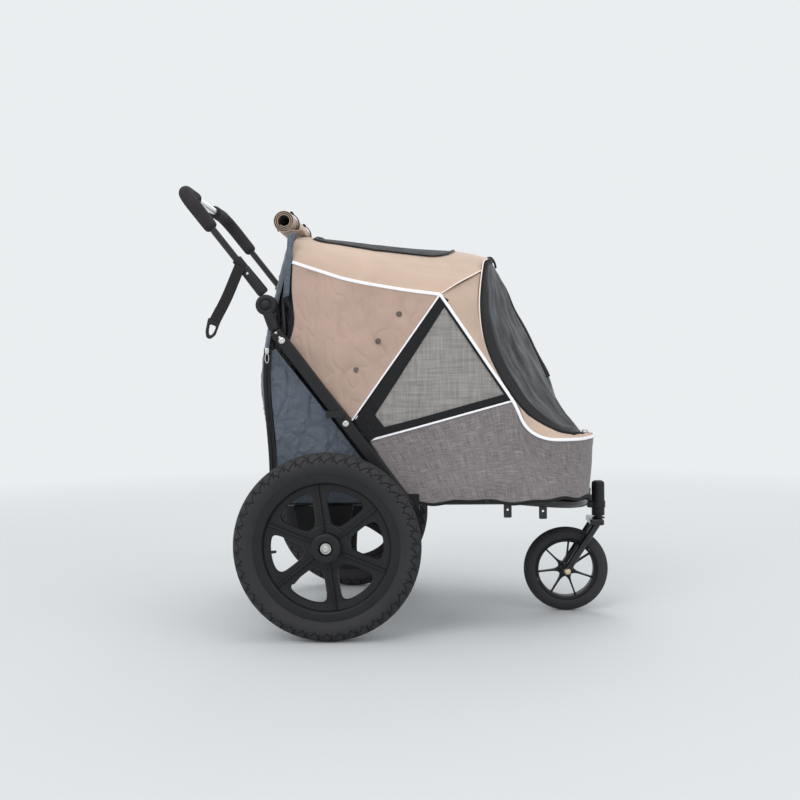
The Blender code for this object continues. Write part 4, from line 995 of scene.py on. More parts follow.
def build_rolled_cover():
    """The roof's cover rolled up at the back: a spiral of cloth that runs down to the roof's rear edge."""
    middle, half, reach = middle_of("rolled_cover") - [AXLE_X, 0, 0], high_of("rolled_cover")[1], 0.0245
    turns = np.linspace(0, 1, 170)
    angle = math.radians(-62) - TAU * 3.2 * turns
    radius = reach - 0.0125 * turns
    line = np.stack([middle[0] + radius * np.cos(angle), middle[2] + radius * np.sin(angle)], axis=1)
    tail = spline_through(
        [(-0.0640, 0.8990), (-0.0760, 0.8965), tuple(line[0] + [0.004, 0.0012]), tuple(line[0])], 16
    )[:-1]
    line = np.vstack([tail, line])
    y = np.linspace(-half, half, 70)
    grid = np.zeros((len(line), len(y), 3))
    grid[..., 0], grid[..., 1], grid[..., 2] = line[:, 0:1], y, line[:, 1:2]
    sag = 0.0012 * np.sin(y / half * 5.1)[None, :] + 0.0007 * np.sin(y / half * 13.0)[None, :]
    grid[..., 2] += sag
    made = piece("rolled_cover", patch(grid, outward=None), "cream_cloth")
    made.data.materials.append(finish("cover_lining"))
    solid = thick(made, 0.0014, 0.0).modifiers["thickness"]
    solid.material_offset = 1
    fit(made, "chassis", ["rolled_cover"], folds=True)

    ties = []
    for y in (-0.098, 0.098):
        angle = np.linspace(math.radians(-75), math.radians(215), 50)
        loop = np.stack(
            [
                middle[0] + (reach + 0.0018) * np.cos(angle),
                np.full(50, y),
                middle[2] + (reach + 0.0018) * np.sin(angle),
            ],
            axis=1,
        )
        up = unit(loop - [middle[0], y, middle[2]])
        ties.append(strip(loop, up, 0.0070, 0.0011))
        ties.append(
            bar(
                (middle[0] + 0.010, y - 0.012, middle[2] + reach + 0.0016),
                (middle[0] + 0.010, y + 0.012, middle[2] + reach + 0.0016),
                (0, 0, 1),
                0.0030,
                0.0026,
                0.0020,
            )
        )
    fit(piece("cover_ties", ties, "black_binding"), "chassis", folds=True)


def build_front():
    """The cream surround between the piping and the door's zip, and the zip's tapes and pulls."""
    steps, across = 140, 26
    outer, inner = mirrored(spline_through(PIPING, steps)), mirrored(spline_through(DOOR_EDGE, steps))
    share = np.linspace(0, 1, across)[None, :, None]
    grid = outer[:, None] * (1 - share) + inner[:, None] * share
    grid = wrinkled(grid, 0.0022, 0.075, 53, (1.1, 1.1, 0.35), 0.6, 0.14)
    made = piece("front_surround", patch(grid, outward=(1, 0, 1)), "cream_cloth")
    fit(thick(made), "chassis", ["front_surround"], folds=True)

    loop = np.vstack([door_edge(220), (door_edge(220) * [1, -1, 1])[-2:0:-1]])
    away = unit(loop - np.array([0.30, 0.0, 0.60]))
    up = unit(away * [1, 1.2, 0.25])
    made = piece("front_zip", strip(loop + up * 0.0012, up, 0.0060, 0.0012, closed=True), "zip_tape")
    fit(made, "chassis", folds=True)
    made = piece(
        "front_zip_cord",
        patch(sweep(loop + up * 0.0030, ring(0.0022, 12), up, closed=True), around=True, along=True),
        "black_binding",
    )
    fit(made, "chassis", folds=True)
    made = piece(
        "front_piping",
        patch(
            sweep(loop + unit(away * [-1, 1, 0.2]) * 0.0068, ring(0.0016, 12), up, closed=True),
            around=True,
            along=True,
        ),
        "seam_tape",
    )
    fit(made, "chassis", folds=True)

    top = np.array([0.352, 0.0, 0.838])
    loop = top + np.array(
        [[0.0, 0, 0.0], [0.008, 0, 0.006], [0.017, 0, 0.005], [0.024, 0, -0.006], [0.027, 0, -0.018]]
    )
    made = piece(
        "door_loop", strip(spline_through(loop, 40), np.array([1, 0, 0.4]), 0.0100, 0.0022), "black_binding"
    )
    fit(made, "chassis", folds=True)
    pulls = []
    for y, turn in ((-0.010, -12), (0.012, 15)):
        angle = np.linspace(0, TAU, 32, endpoint=False)
        ring_path = np.stack(
            [
                0.5865 + 0.0065 * np.cos(angle),
                y + 0.003 * np.sin(angle) * math.sin(math.radians(turn)),
                0.4262 + 0.0065 * np.sin(angle),
            ],
            axis=1,
        )
        pulls.append(
            patch(sweep(ring_path, ring(0.0011, 10), (0, 1, 0), closed=True), around=True, along=True)
        )
        pulls.append(bar((0.574, y, 0.4275), (0.584, y, 0.4265), (0, 0, 1), 0.0045, 0.0026, 0.0015))
    fit(piece("front_zip_sliders", pulls, "steel"), "chassis", folds=True)


def door_edge(count):
    return spline_through([(0.367, 0.0, 0.837)] + DOOR_TOP + DOOR_EDGE[1:], count)


def build_door():
    """The net door: it leans out from its zip to a bulging middle, with long folds that run down it."""
    rows, columns = 130, 56
    edge = spline_through(DOOR_TOP + DOOR_EDGE[1:], rows)
    middle = spline_through(DOOR_MIDDLE, rows)
    share = np.linspace(0, 1, columns)
    lean = (1 - np.cos(share * math.pi / 2))[None, :]
    half = np.stack(
        [
            middle[:, 0:1] + (edge[:, 0:1] - middle[:, 0:1]) * lean,
            edge[:, 1:2] * share[None, :],
            middle[:, 2:3] + (edge[:, 2:3] - middle[:, 2:3]) * lean,
        ],
        axis=-1,
    )[:, ::-1]
    grid = np.concatenate([half, half[:, -2::-1] * [1, -1, 1]], axis=1)
    s = np.linspace(0, 1, rows)[:, None]
    t = np.linspace(-1, 1, 2 * columns - 1)[None, :]
    fade = edge_fade(grid.shape[:2], 0.14)
    bend = 0.9 * np.sin(3.1 * s + 0.4) + 0.3 * np.sin(8.0 * s)
    folds = 0.0050 * np.sin(9.0 * t + bend) + 0.0032 * np.sin(19.0 * t - 2.0 * bend + 3.5 * s)
    push = folds * (0.45 + 0.55 * np.sin(math.pi * s)) + 0.0022 * soft_noise(grid, 0.045, 61, (1, 1, 0.5))
    grid = grid + normals_of(grid) * (np.clip(push, -0.008, 0.008) * fade)[..., None]
    made = piece("front_door", patch(grid, outward=(1, 0, 0)), "door_net")
    fit(made, "front_door", ["front_door"], folds=True)
    away = normals_of(grid)
    away = away * np.sign((away * [1, 0, 0.2]).sum(-1, keepdims=True))
    lift = grid + away * 0.0016
    borders = [patch(part, outward=(1, 0, 0.2)) for part in (lift[:, :9], lift[:, -9:])]
    fit(thick(piece("door_border", borders, "zip_tape"), 0.0012), "front_door", folds=True)
    ridge = grid[10:86, columns - 7 : columns + 6] + away[10:86, columns - 7 : columns + 6] * 0.0040
    fit(
        thick(piece("door_flap", patch(ridge, outward=(1, 0, 0.2)), "black_binding"), 0.0035),
        "front_door",
        folds=True,
    )


def build_rear_side(side, sign):
    """The slate side panel behind the rail, with the zip that runs down its rear edge."""
    steps = 90
    rear = in_plane(spline_through(REAR_BACK_EDGE, steps), CABIN_Y)
    low_front = (0.142, CABIN_Y, 0.2870)
    grid = between_four(
        spline_through([rear[0], low_front], steps),
        spline_through([rear[-1], REAR_RAIL_EDGE[0]], steps),
        rear,
        spline_through([low_front] + REAR_RAIL_EDGE[1::-1], steps),
    )
    grid = wrinkled(grid, 0.0030, 0.085, 71, (1.5, 1, 0.7), 0.6, 0.10)
    grid = wrinkled(grid, 0.0012, 0.030, 73, (0.7, 1, 1.4), 0.8, 0.06)
    made = piece(f"rear_side_panel_{side}", patch(grid * [1, sign, 1], outward=(0, sign, 0)), "slate_nylon")
    fit(thick(made), "chassis", [f"rear_side_panel_{side}"], folds=True)

    line = spline_through(
        [
            (-0.1290, CABIN_Y, 0.300), (-0.1290, CABIN_Y, 0.390), (-0.1385, CABIN_Y, 0.540),
            (-0.1360, CABIN_Y, 0.632),
        ],
        60,
    )
    up = np.array([-0.25, 1.0, 0]) * [1, sign, 1]
    mirrored_line = line * [1, sign, 1]
    made = piece(f"side_zip_{side}", strip(mirrored_line + up * 0.0006, up, 0.0085, 0.0010), "zip_tape")
    fit(made, "chassis", folds=True)
    made = piece(
        f"side_zip_coil_{side}",
        patch(sweep(mirrored_line + up * 0.0018, ring(0.0018, 12), up), along=True, caps=True),
        "black_binding",
    )
    fit(made, "chassis", folds=True)

    x, z, y = -0.1370, 0.6260, sign * 0.2022
    flat = (0, sign, 0)
    tab = [bar((x, y, z + 0.006), (x, y, z - 0.006), flat, 0.0048, 0.0017, 0.0014)]
    angle = np.linspace(0, TAU, 40, endpoint=False)
    loop = np.stack(
        [x + 0.0042 * np.cos(angle), np.full(40, y + sign * 0.0012), z - 0.0165 + 0.0105 * np.sin(angle)],
        axis=1,
    )
    tab.append(patch(sweep(loop, ring(0.0011, 10), flat, closed=True), around=True, along=True))
    fit(
        piece(f"zip_pull_{side}", tab, "steel"),
        f"slider_{side}",
        [f"zip_slider_{side}"],
        folds=True,
    )


def build_back():
    """The slate back: the line of the back carried across, drawn in towards the corners."""
    rows, columns = 150, 121
    line = in_plane(spline_through(BACK_LINE, rows), 0.0)
    corner = np.array(BACK_CORNER)
    y = np.linspace(-corner[-1, 0], corner[-1, 0], columns)
    step = np.interp(np.abs(y), corner[:, 0], corner[:, 1])
    grid = np.zeros((rows, columns, 3))
    grid[..., 0] = line[:, 0:1] + step[None, :]
    grid[..., 1] = y[None, :]
    grid[..., 2] = line[:, 2:3]
    grid = wrinkled(grid, 0.0028, 0.100, 83, (1, 1.5, 0.6), 0.6, 0.07)
    grid = wrinkled(grid, 0.0010, 0.032, 89, (1, 0.8, 1.3), 0.8, 0.05)
    made = piece("back_panel", patch(grid, outward=(-1, 0, 0)), "slate_nylon")
    fit(thick(made), "chassis", ["back_panel"], folds=True)
    bands = []
    for k in (18, columns - 19):
        bands.append(strip(grid[3:-3, k] - [0.0012, 0, 0], (-1, 0, 0), 0.0045, 0.0010))
    row = int(rows * 0.60)
    bands.append(strip(grid[row, 18:-18] - [0.0016, 0, 0], (-1, 0, 0), 0.0055, 0.0010))
    fit(piece("back_seams", bands, "black_binding"), "chassis", folds=True)

    for side, sign in SIDES:
        path = spline_through(
            [
                (-0.0890, 0.1900, 0.880), (-0.0910, 0.1985, 0.838), (-0.0960, 0.2000, 0.790),
                (-0.1000, 0.2000, 0.742),
            ],
            40,
        )
        width = np.linspace(0, 1, 18)[None, :, None]
        inner = path + [0.014, 0.0012, 0.004]
        pillar = path[:, None] * (1 - width) + inner[:, None] * width
        pillar[..., 1] += 0.0035 * np.sin(math.pi * width[..., 0])
        pillar = wrinkled(pillar, 0.0014, 0.028, 97, (1, 1, 1.3), 0.7, 0.2)
        made = piece(
            f"corner_pillar_{side}", patch(pillar * [1, sign, 1], outward=(0, sign, 0)), "slate_nylon"
        )
        fit(thick(made), "chassis", folds=True)
        path = spline_through(
            [
                (-0.0960, 0.2005, 0.742), (-0.0830, 0.2010, 0.720), (-0.0800, 0.2010, 0.690),
                (-0.0880, 0.2005, 0.655), (-0.1000, 0.2000, 0.640),
            ],
            40,
        )
        made = piece(
            f"hoop_binding_{side}",
            strip(path * [1, sign, 1], (0, sign, 0), 0.0042, 0.0018),
            "black_binding",
        )
        fit(made, "chassis", folds=True)


def build_mat():
    """The padded floor mat: a rounded slab swelled as cloth under pressure, then sewn down in channels."""
    low, high = low_of("floor_mat"), high_of("floor_mat")
    middle, half = (low + high) / 2 - [AXLE_X, 0, 0], (high - low) / 2
    inset = 0.0020
    grid_block = bar(
        middle - [half[0] - inset, 0, 0],
        middle + [half[0] - inset, 0, 0],
        (0, 0, 1),
        half[1] - inset,
        half[2] - 0.0012,
        0.0065,
        6,
    )
    made = piece("floor_mat", grid_block, "mat_cloth", sharp=80)
    remesh = made.modifiers.new("even", "REMESH")
    remesh.mode = "VOXEL"
    remesh.voxel_size = 0.0052
    made.data = settled(made)
    made.modifiers.clear()
    swell(made, pressure=4.0, cap=0.0025)
    made.data.materials.clear()
    made.data.materials.append(finish("mat_cloth"))
    made.data.shade_smooth()
    points = np.empty(len(made.data.vertices) * 3)
    made.data.vertices.foreach_get("co", points)
    points = points.reshape(-1, 3)
    pitch = (high[0] - low[0]) / 6
    off = np.abs((points[:, 0] - low[0] + pitch / 2) % pitch - pitch / 2)
    inside = (points[:, 0] > low[0] + 0.03) & (points[:, 0] < high[0] - 0.03) & (points[:, 2] > middle[2])
    points[:, 2] -= 0.0040 * np.exp(-((off / 0.006) ** 2)) * inside
    points[:, 2] = np.clip(points[:, 2], low[2] + 0.0002, high[2] + 0.0015)
    made.data.vertices.foreach_set("co", points.ravel())
    made.data.update()
    fit(made, "chassis", ["floor_mat"])


def settled(made):
    """The piece's mesh with its modifiers worked in."""
    return bpy.data.meshes.new_from_object(made.evaluated_get(bpy.context.evaluated_depsgraph_get()))


def swell(made, pressure, cap):
    """Cloth under inner pressure for twenty frames; no point moves further than cap from its start."""
    count = len(made.data.vertices)
    before = np.empty(count * 3)
    made.data.vertices.foreach_get("co", before)
    cloth = made.modifiers.new("swell", "CLOTH")
    cloth.settings.use_pressure = True
    cloth.settings.uniform_pressure_force = pressure
    cloth.settings.effector_weights.gravity = 0.0
    cloth.settings.tension_stiffness = 30.0
    for step in range(1, 21):
        bpy.context.scene.frame_set(step)
    after = np.empty(count * 3)
    made.evaluated_get(bpy.context.evaluated_depsgraph_get()).data.vertices.foreach_get("co", after)
    made.modifiers.clear()
    bpy.context.scene.frame_set(1)
    before, after = before.reshape(-1, 3), after.reshape(-1, 3)
    moved = after - before
    length = np.linalg.norm(moved, axis=1, keepdims=True)
    moved *= np.minimum(1, cap / np.maximum(length, 1e-9))
    made.data.vertices.foreach_set("co", (before + moved).ravel())
    made.data.update()


# ---------------------------------------------------------------- wheels
def tread_depth(turn, lean, settings):
    """Groove depth: scalloped lines at two leans from the crown, cuts between them and a centre line."""
    t = (turn * settings.scales) % 1.0
    side = np.abs(lean)
    reach = 0.0265

    def groove(line, width=1.0):
        return np.exp(-(((side - line) * reach / (settings.groove_width * width)) ** 2))

    shift = np.where(lean > 0, t, (t + 0.5) % 1.0)
    outer = 1.44 - 0.52 * np.sin(math.pi * shift) ** 0.8
    hook = 0.84 - 0.56 * np.sin(math.pi * ((shift + 0.62) % 1.0))
    cut = np.exp(
        -(((shift - 0.30 - 0.25 * (side - 0.9)) * 0.028 / settings.groove_width) ** 2)
    ) * (side > 0.70) * (side < 1.30)
    sipe = np.exp(
        -(((shift - 0.66) * 0.028 / (settings.groove_width * 0.7)) ** 2)
    ) * (side > 0.92) * (side < 1.16)
    centre = np.exp(-((lean * reach / (settings.groove_width * 1.3)) ** 2))
    lines = np.broadcast_arrays(groove(outer), groove(hook, 0.9), cut, sipe * 0.6, centre * 0.8)
    return settings.groove * np.maximum.reduce(lines)


def build_rear_wheel(side, sign):
    settings = bpy.context.scene.stroller_wheels
    centre, out = (0, sign * WHEEL_Y, AXLE_Z), (0, sign, 0)
    around = 992
    lean = np.radians(np.linspace(84, -84, 74))
    steps = np.linspace(0, 1, around, endpoint=False)[:, None]
    depth = tread_depth(steps, lean[None, :], settings) * (np.abs(lean) < 1.455)[None, :]
    radius, height = TYRE_R - 0.0262 + (0.0262 - depth) * np.cos(lean), (
        0.0262 - depth * 0.9
    ) * np.sin(lean)
    lower = np.array(
        [
            (0.1715, 0.0252), (0.1670, 0.0232), (0.1640, 0.0214), (0.1612, 0.0208), (0.1590, 0.0186),
            (0.1568, 0.0174), (0.1545, 0.0152), (0.1533, 0.0150),
        ]
    )
    first = np.broadcast_to(lower[::-1], (around, *lower.shape))
    crown = np.stack([np.broadcast_to(radius, depth.shape), np.broadcast_to(height, depth.shape)], axis=-1)
    last = np.broadcast_to(lower * [1, -1], (around, *lower.shape))
    profile = np.concatenate([first, crown, last], axis=1)
    angle = steps[..., None] * TAU
    axis, ahead, above = np.array(out), np.array([1.0, 0, 0]), np.array([0, 0, 1.0])
    grid = np.array(centre) + profile[..., 1:2] * axis + profile[..., 0:1] * (
        np.cos(angle) * ahead + np.sin(angle) * above
    )
    made = piece(f"tyre_{side}", patch(grid, around=True, along=True), "tyre_rubber", merge=False)
    # Painted shade for the tread's grooves, stored as the groove attribute that the tyre's finish darkens
    # by.
    shadow = np.zeros(grid.shape[:2])
    shadow[:, len(lower) : -len(lower)] = depth / settings.groove
    made.data.attributes.new("groove", "FLOAT", "POINT").data.foreach_set("value", shadow.ravel())
    fit(made, f"rear_wheel_{side}", [f"tyre_{side}"])

    rim = softened(
        [
            (0.1580, 0.0182), (0.1580, 0.0158), (0.1531, 0.0155), (0.1531, -0.0155), (0.1580, -0.0158),
            (0.1580, -0.0182), (0.1400, -0.0172), (0.1375, -0.0150), (0.1350, -0.0066), (0.1225, -0.0060),
            (0.1225, 0.0060), (0.1350, 0.0066), (0.1375, 0.0150), (0.1400, 0.0172),
        ],
        0.0012,
        3,
    )
    hub = softened(
        [
            (0.0150, 0.0190), (0.0150, 0.0296), (0.0280, 0.0300), (0.0330, 0.0262), (0.0332, 0.0066),
            (0.0470, 0.0064), (0.0490, 0.0040), (0.0490, -0.0040), (0.0470, -0.0064), (0.0275, -0.0080),
            (0.0240, -0.0238), (0.0065, -0.0240), (0.0065, 0.0190),
        ],
        0.0022,
        4,
    )
    parts = [
        patch(turned(rim, centre, out, 144), around=True, along=True),
        patch(turned(hub, centre, out, 72), around=True, along=True),
    ]
    phase = math.radians(98 if sign < 0 else 87)
    for k in range(6):
        parts.append(sector(centre, sign, phase + TAU * (k + 0.5) / 6, settings.spoke))
        way = np.array([math.cos(phase + TAU * k / 6), 0, math.sin(phase + TAU * k / 6)])
        parts.append(
            bar(
                np.array(centre) + way * 0.031,
                np.array(centre) + way * 0.1365,
                out,
                0.0023,
                0.0120,
                0.0016,
                3,
            )
        )
    made = piece(f"rim_{side}", parts, "wheel_black")
    fit(made, f"rear_wheel_{side}", [f"rim_{side}"])

    way = np.array([math.cos(math.radians(185)), 0, math.sin(math.radians(185))])
    stem = turned(
        softened(
            [
                (0, 0.027), (0.0026, 0.027), (0.0032, 0.022), (0.0032, 0.010), (0.0042, 0.006),
                (0.0046, 0.0), (0, 0.0),
            ],
            0.0008,
            3,
            closed=False,
        ),
        np.array(centre) + way * 0.1365 + [0, sign * 0.002, 0],
        -way,
        24,
    )
    made = piece(f"valve_{side}", patch(stem, around=True), "moulded_black")
    fit(made, f"rear_wheel_{side}")


def sector(centre, sign, angle, spoke):
    """A sixth of the wheel's web: rings from the back's border over the window's edge to the front's."""
    inner_r, outer_r, low_r, high_r = 0.0500, 0.1225, 0.0385, 0.1362
    half = math.pi / 6
    counts = (16, 26, 30, 26)

    def fan(r, a, n):
        a = np.linspace(-a, a, n, endpoint=False)
        return np.stack([r * np.cos(a), r * np.sin(a)], axis=1)

    def run(start, end, n):
        s = np.linspace(0, 1, n, endpoint=False)[:, None]
        return np.array(start) * (1 - s) + np.array(end) * s

    def polar(r, a):
        return (r * math.cos(a), r * math.sin(a))

    low_a = half - math.asin(spoke / inner_r)
    high_a = half - math.asin(spoke / outer_r)
    window = np.vstack(
        [
            fan(inner_r, low_a, counts[0]),
            run(polar(inner_r, low_a), polar(outer_r, high_a), counts[1]),
            fan(outer_r, high_a, counts[2])[::-1],
            run(polar(outer_r, -high_a), polar(inner_r, -low_a), counts[3]),
        ]
    )
    for _ in range(46):
        window = (np.roll(window, 1, axis=0) + 2 * window + np.roll(window, -1, axis=0)) / 4
    border = np.vstack(
        [
            fan(low_r, half, counts[0]),
            run(polar(low_r, half), polar(high_r, half), counts[1]),
            np.stack(
                [
                    high_r * np.cos(np.linspace(half, -half, counts[2], endpoint=False)),
                    high_r * np.sin(np.linspace(half, -half, counts[2], endpoint=False)),
                ],
                axis=1,
            ),
            run(polar(high_r, -half), polar(low_r, -half), counts[3]),
        ]
    )
    share = np.array([1.0, 0.7, 0.4, 0.15, 0.04, 0.0, 0.0, 0.04, 0.15, 0.4, 0.7, 1.0])[None, :, None]
    plane = window[:, None] * (1 - share) + border[:, None] * share
    r = np.linalg.norm(plane, axis=-1)
    full = np.clip((r - low_r) / 0.007, 0, 1) * np.clip((high_r - r) / 0.007, 0, 1)
    side = np.array([-1, -1, -1, -1, -1, -0.75, 0.75, 1, 1, 1, 1, 1])[None, :]
    depth = 0.0052 * side * full
    cos, sin = math.cos(angle), math.sin(angle)
    grid = np.stack(
        [
            centre[0] + plane[..., 0] * cos - plane[..., 1] * sin,
            centre[1] + sign * depth,
            centre[2] + plane[..., 0] * sin + plane[..., 1] * cos,
        ],
        axis=-1,
    )
    made = patch(grid, around=True)
    made["flip"] = faces_away(grid, made["quads"], (0, 1, 0), depth * sign > 0)
    return made


def faces_away(grid, quads, outward, front):
    """True if the faces of the front side look away from outward."""
    points = grid.reshape(-1, 3)
    chosen = quads[front.ravel()[quads].all(axis=1)]
    a, b, c, d = (points[chosen[:, k]] for k in range(4))
    return np.cross(c - a, d - b).sum(0) @ np.array(outward, float) < 0


def build_front_wheel():
    centre, out = (CASTER_X, 0, CASTER_Z), (0, 1, 0)
    around = 480
    lean = np.radians(np.linspace(90, -90, 56))
    steps = np.linspace(0, 1, around, endpoint=False)[:, None]
    groove = np.exp(-(((np.abs(lean) - 0.32) * 0.021 / 0.0011) ** 2)) + np.exp(
        -(((np.abs(lean) - 0.78) * 0.021 / 0.0011) ** 2)
    )
    block = np.exp(
        -((((steps * 60) % 1.0 - 0.5) * 0.0105 / 0.0010) ** 2)
    ) * (np.abs(lean) > 0.34) * (np.abs(lean) < 0.76)
    depth = 0.0009 * np.maximum(groove[None, :], block)
    radius, height = 0.0780 + (0.0220 - depth) * np.cos(lean), (0.0190 - depth) * np.sin(lean)
    lower = np.array([(0.0760, 0.0186), (0.0740, 0.0172), (0.0722, 0.0150)])
    crown = np.stack([np.broadcast_to(radius, depth.shape), np.broadcast_to(height, depth.shape)], axis=-1)
    profile = np.concatenate(
        [
            np.broadcast_to(lower[::-1], (around, 3, 2)),
            crown,
            np.broadcast_to(lower * [1, -1], (around, 3, 2)),
        ],
        axis=1,
    )
    angle = steps[..., None] * TAU
    grid = np.array(centre) + profile[..., 1:2] * np.array(out) + profile[..., 0:1] * (
        np.cos(angle) * np.array([1.0, 0, 0]) + np.sin(angle) * np.array([0, 0, 1.0])
    )
    made = piece("front_tyre", patch(grid, around=True, along=True), "tyre_rubber", merge=False)
    fit(made, "front_wheel", ["front_tyre"])

    rim = softened(
        [
            (0.0718, 0.0152), (0.0718, -0.0152), (0.0695, -0.0156), (0.0655, -0.0130), (0.0655, 0.0130),
            (0.0695, 0.0156),
        ],
        0.0012,
        3,
    )
    hub = softened(
        [
            (0.0128, 0.0240), (0.0160, 0.0120), (0.0172, 0.0), (0.0160, -0.0120), (0.0128, -0.0240),
            (0.0044, -0.0240), (0.0044, 0.0240),
        ],
        0.0015,
        3,
    )
    parts = [
        patch(turned(rim, centre, out, 120), around=True, along=True),
        patch(turned(hub, centre, out, 48), around=True, along=True),
    ]
    reach = np.linspace(0.0125, 0.0680, 26)
    half = 0.0020 + 0.0125 * np.exp(-(reach - 0.0125) / 0.0058) + 0.0010 * np.exp((reach - 0.0680) / 0.0030)
    depth = 0.0085 - 0.0025 * np.clip((reach - 0.0125) / 0.05, 0, 1)
    section = tape(1.0, 1.0, 16)
    for k in range(7):
        turn = math.radians(-19 + 360 / 7 * k)
        way = np.array([math.cos(turn), 0, math.sin(turn)])
        square = np.array([-math.sin(turn), 0, math.cos(turn)])
        across = (half[:, None] * section[None, :, 0])[..., None] * square
        over = (depth[:, None] * section[None, :, 1])[..., None] * np.array(out)
        grid = np.array(centre) + way * reach[:, None, None] + across + over
        parts.append(patch(grid, along=True, caps=True))
    made = piece("front_rim", parts, "wheel_black")
    fit(made, "front_wheel", ["front_rim"])


# ---------------------------------------------------------------- frame
def build_caster_fork():
    """The swivel fork: a stem, a folded crown and two straight legs."""
    parts = [
        knob(
            [
                (0, 0.2955), (0.0095, 0.2955), (0.0095, 0.2248), (0.0155, 0.2240), (0.0160, 0.2205),
                (0, 0.2200),
            ],
            0.0008,
            3,
            (STEM_X, 0, 0),
            (0, 0, 1),
            48,
        ),
        bar(
            (STEM_X - 0.008, -0.0425, 0.2155),
            (STEM_X - 0.008, 0.0425, 0.2155),
            (0, 0, 1),
            0.0165,
            0.0072,
            0.0045,
        ),
    ]
    for _, sign in SIDES:
        top, low = np.array([STEM_X - 0.003, sign * 0.0335, 0.2190]), np.array(
            [CASTER_X - 0.002, sign * 0.0335, CASTER_Z]
        )
        way = unit(low - top)
        path = top + way * np.linspace(-0.004, np.linalg.norm(low - top) + 0.009, 30)[:, None]
        size = np.r_[0.55, 0.85, np.ones(26), 0.9, 0.6]
        flatten = np.interp(np.linspace(0, 1, 30), [0, 0.80, 0.93, 1], [1, 1, 0.62, 0.55])
        profile = ring(0.0085, 28)[None] * np.stack([np.ones(30), flatten], axis=1)[:, None, :]
        parts.append(patch(sweep(path, profile * size[:, None, None], (0, 1, 0)), along=True, caps=True))
    made = piece("caster_fork", parts, "frame_black")
    fit(made, "caster", ["caster_fork"])
    nut = [
        knob(
            [(0, -0.0105), (0.0055, -0.0105), (0.0070, -0.0085), (0.0070, 0.0)],
            0.001,
            3,
            (STEM_X, 0, 0.2195),
            (0, 0, 1),
            6 * 8,
        )
    ]
    fit(piece("stem_nut", nut, "yellow_zinc"), "caster")
    bolt = []
    for _, sign in SIDES:
        bolt.append(
            knob(
                [
                    (0, 0.0060), (0.0050, 0.0060), (0.0072, 0.0042), (0.0078, 0.0008), (0.0078, 0.0),
                    (0, 0.0),
                ],
                0.0008,
                3,
                (CASTER_X, sign * 0.0405, CASTER_Z),
                (0, sign, 0),
                40,
            )
        )
    bolt.append(
        patch(
            turned(
                [(0, -0.0405), (0.0039, -0.0405), (0.0039, 0.0405), (0, 0.0405)],
                (CASTER_X, 0, CASTER_Z),
                (0, 1, 0),
                24,
            ),
            around=True,
        )
    )
    fit(piece("front_axle_bolt", bolt, "yellow_zinc"), "caster", ["front_axle_bolt"])


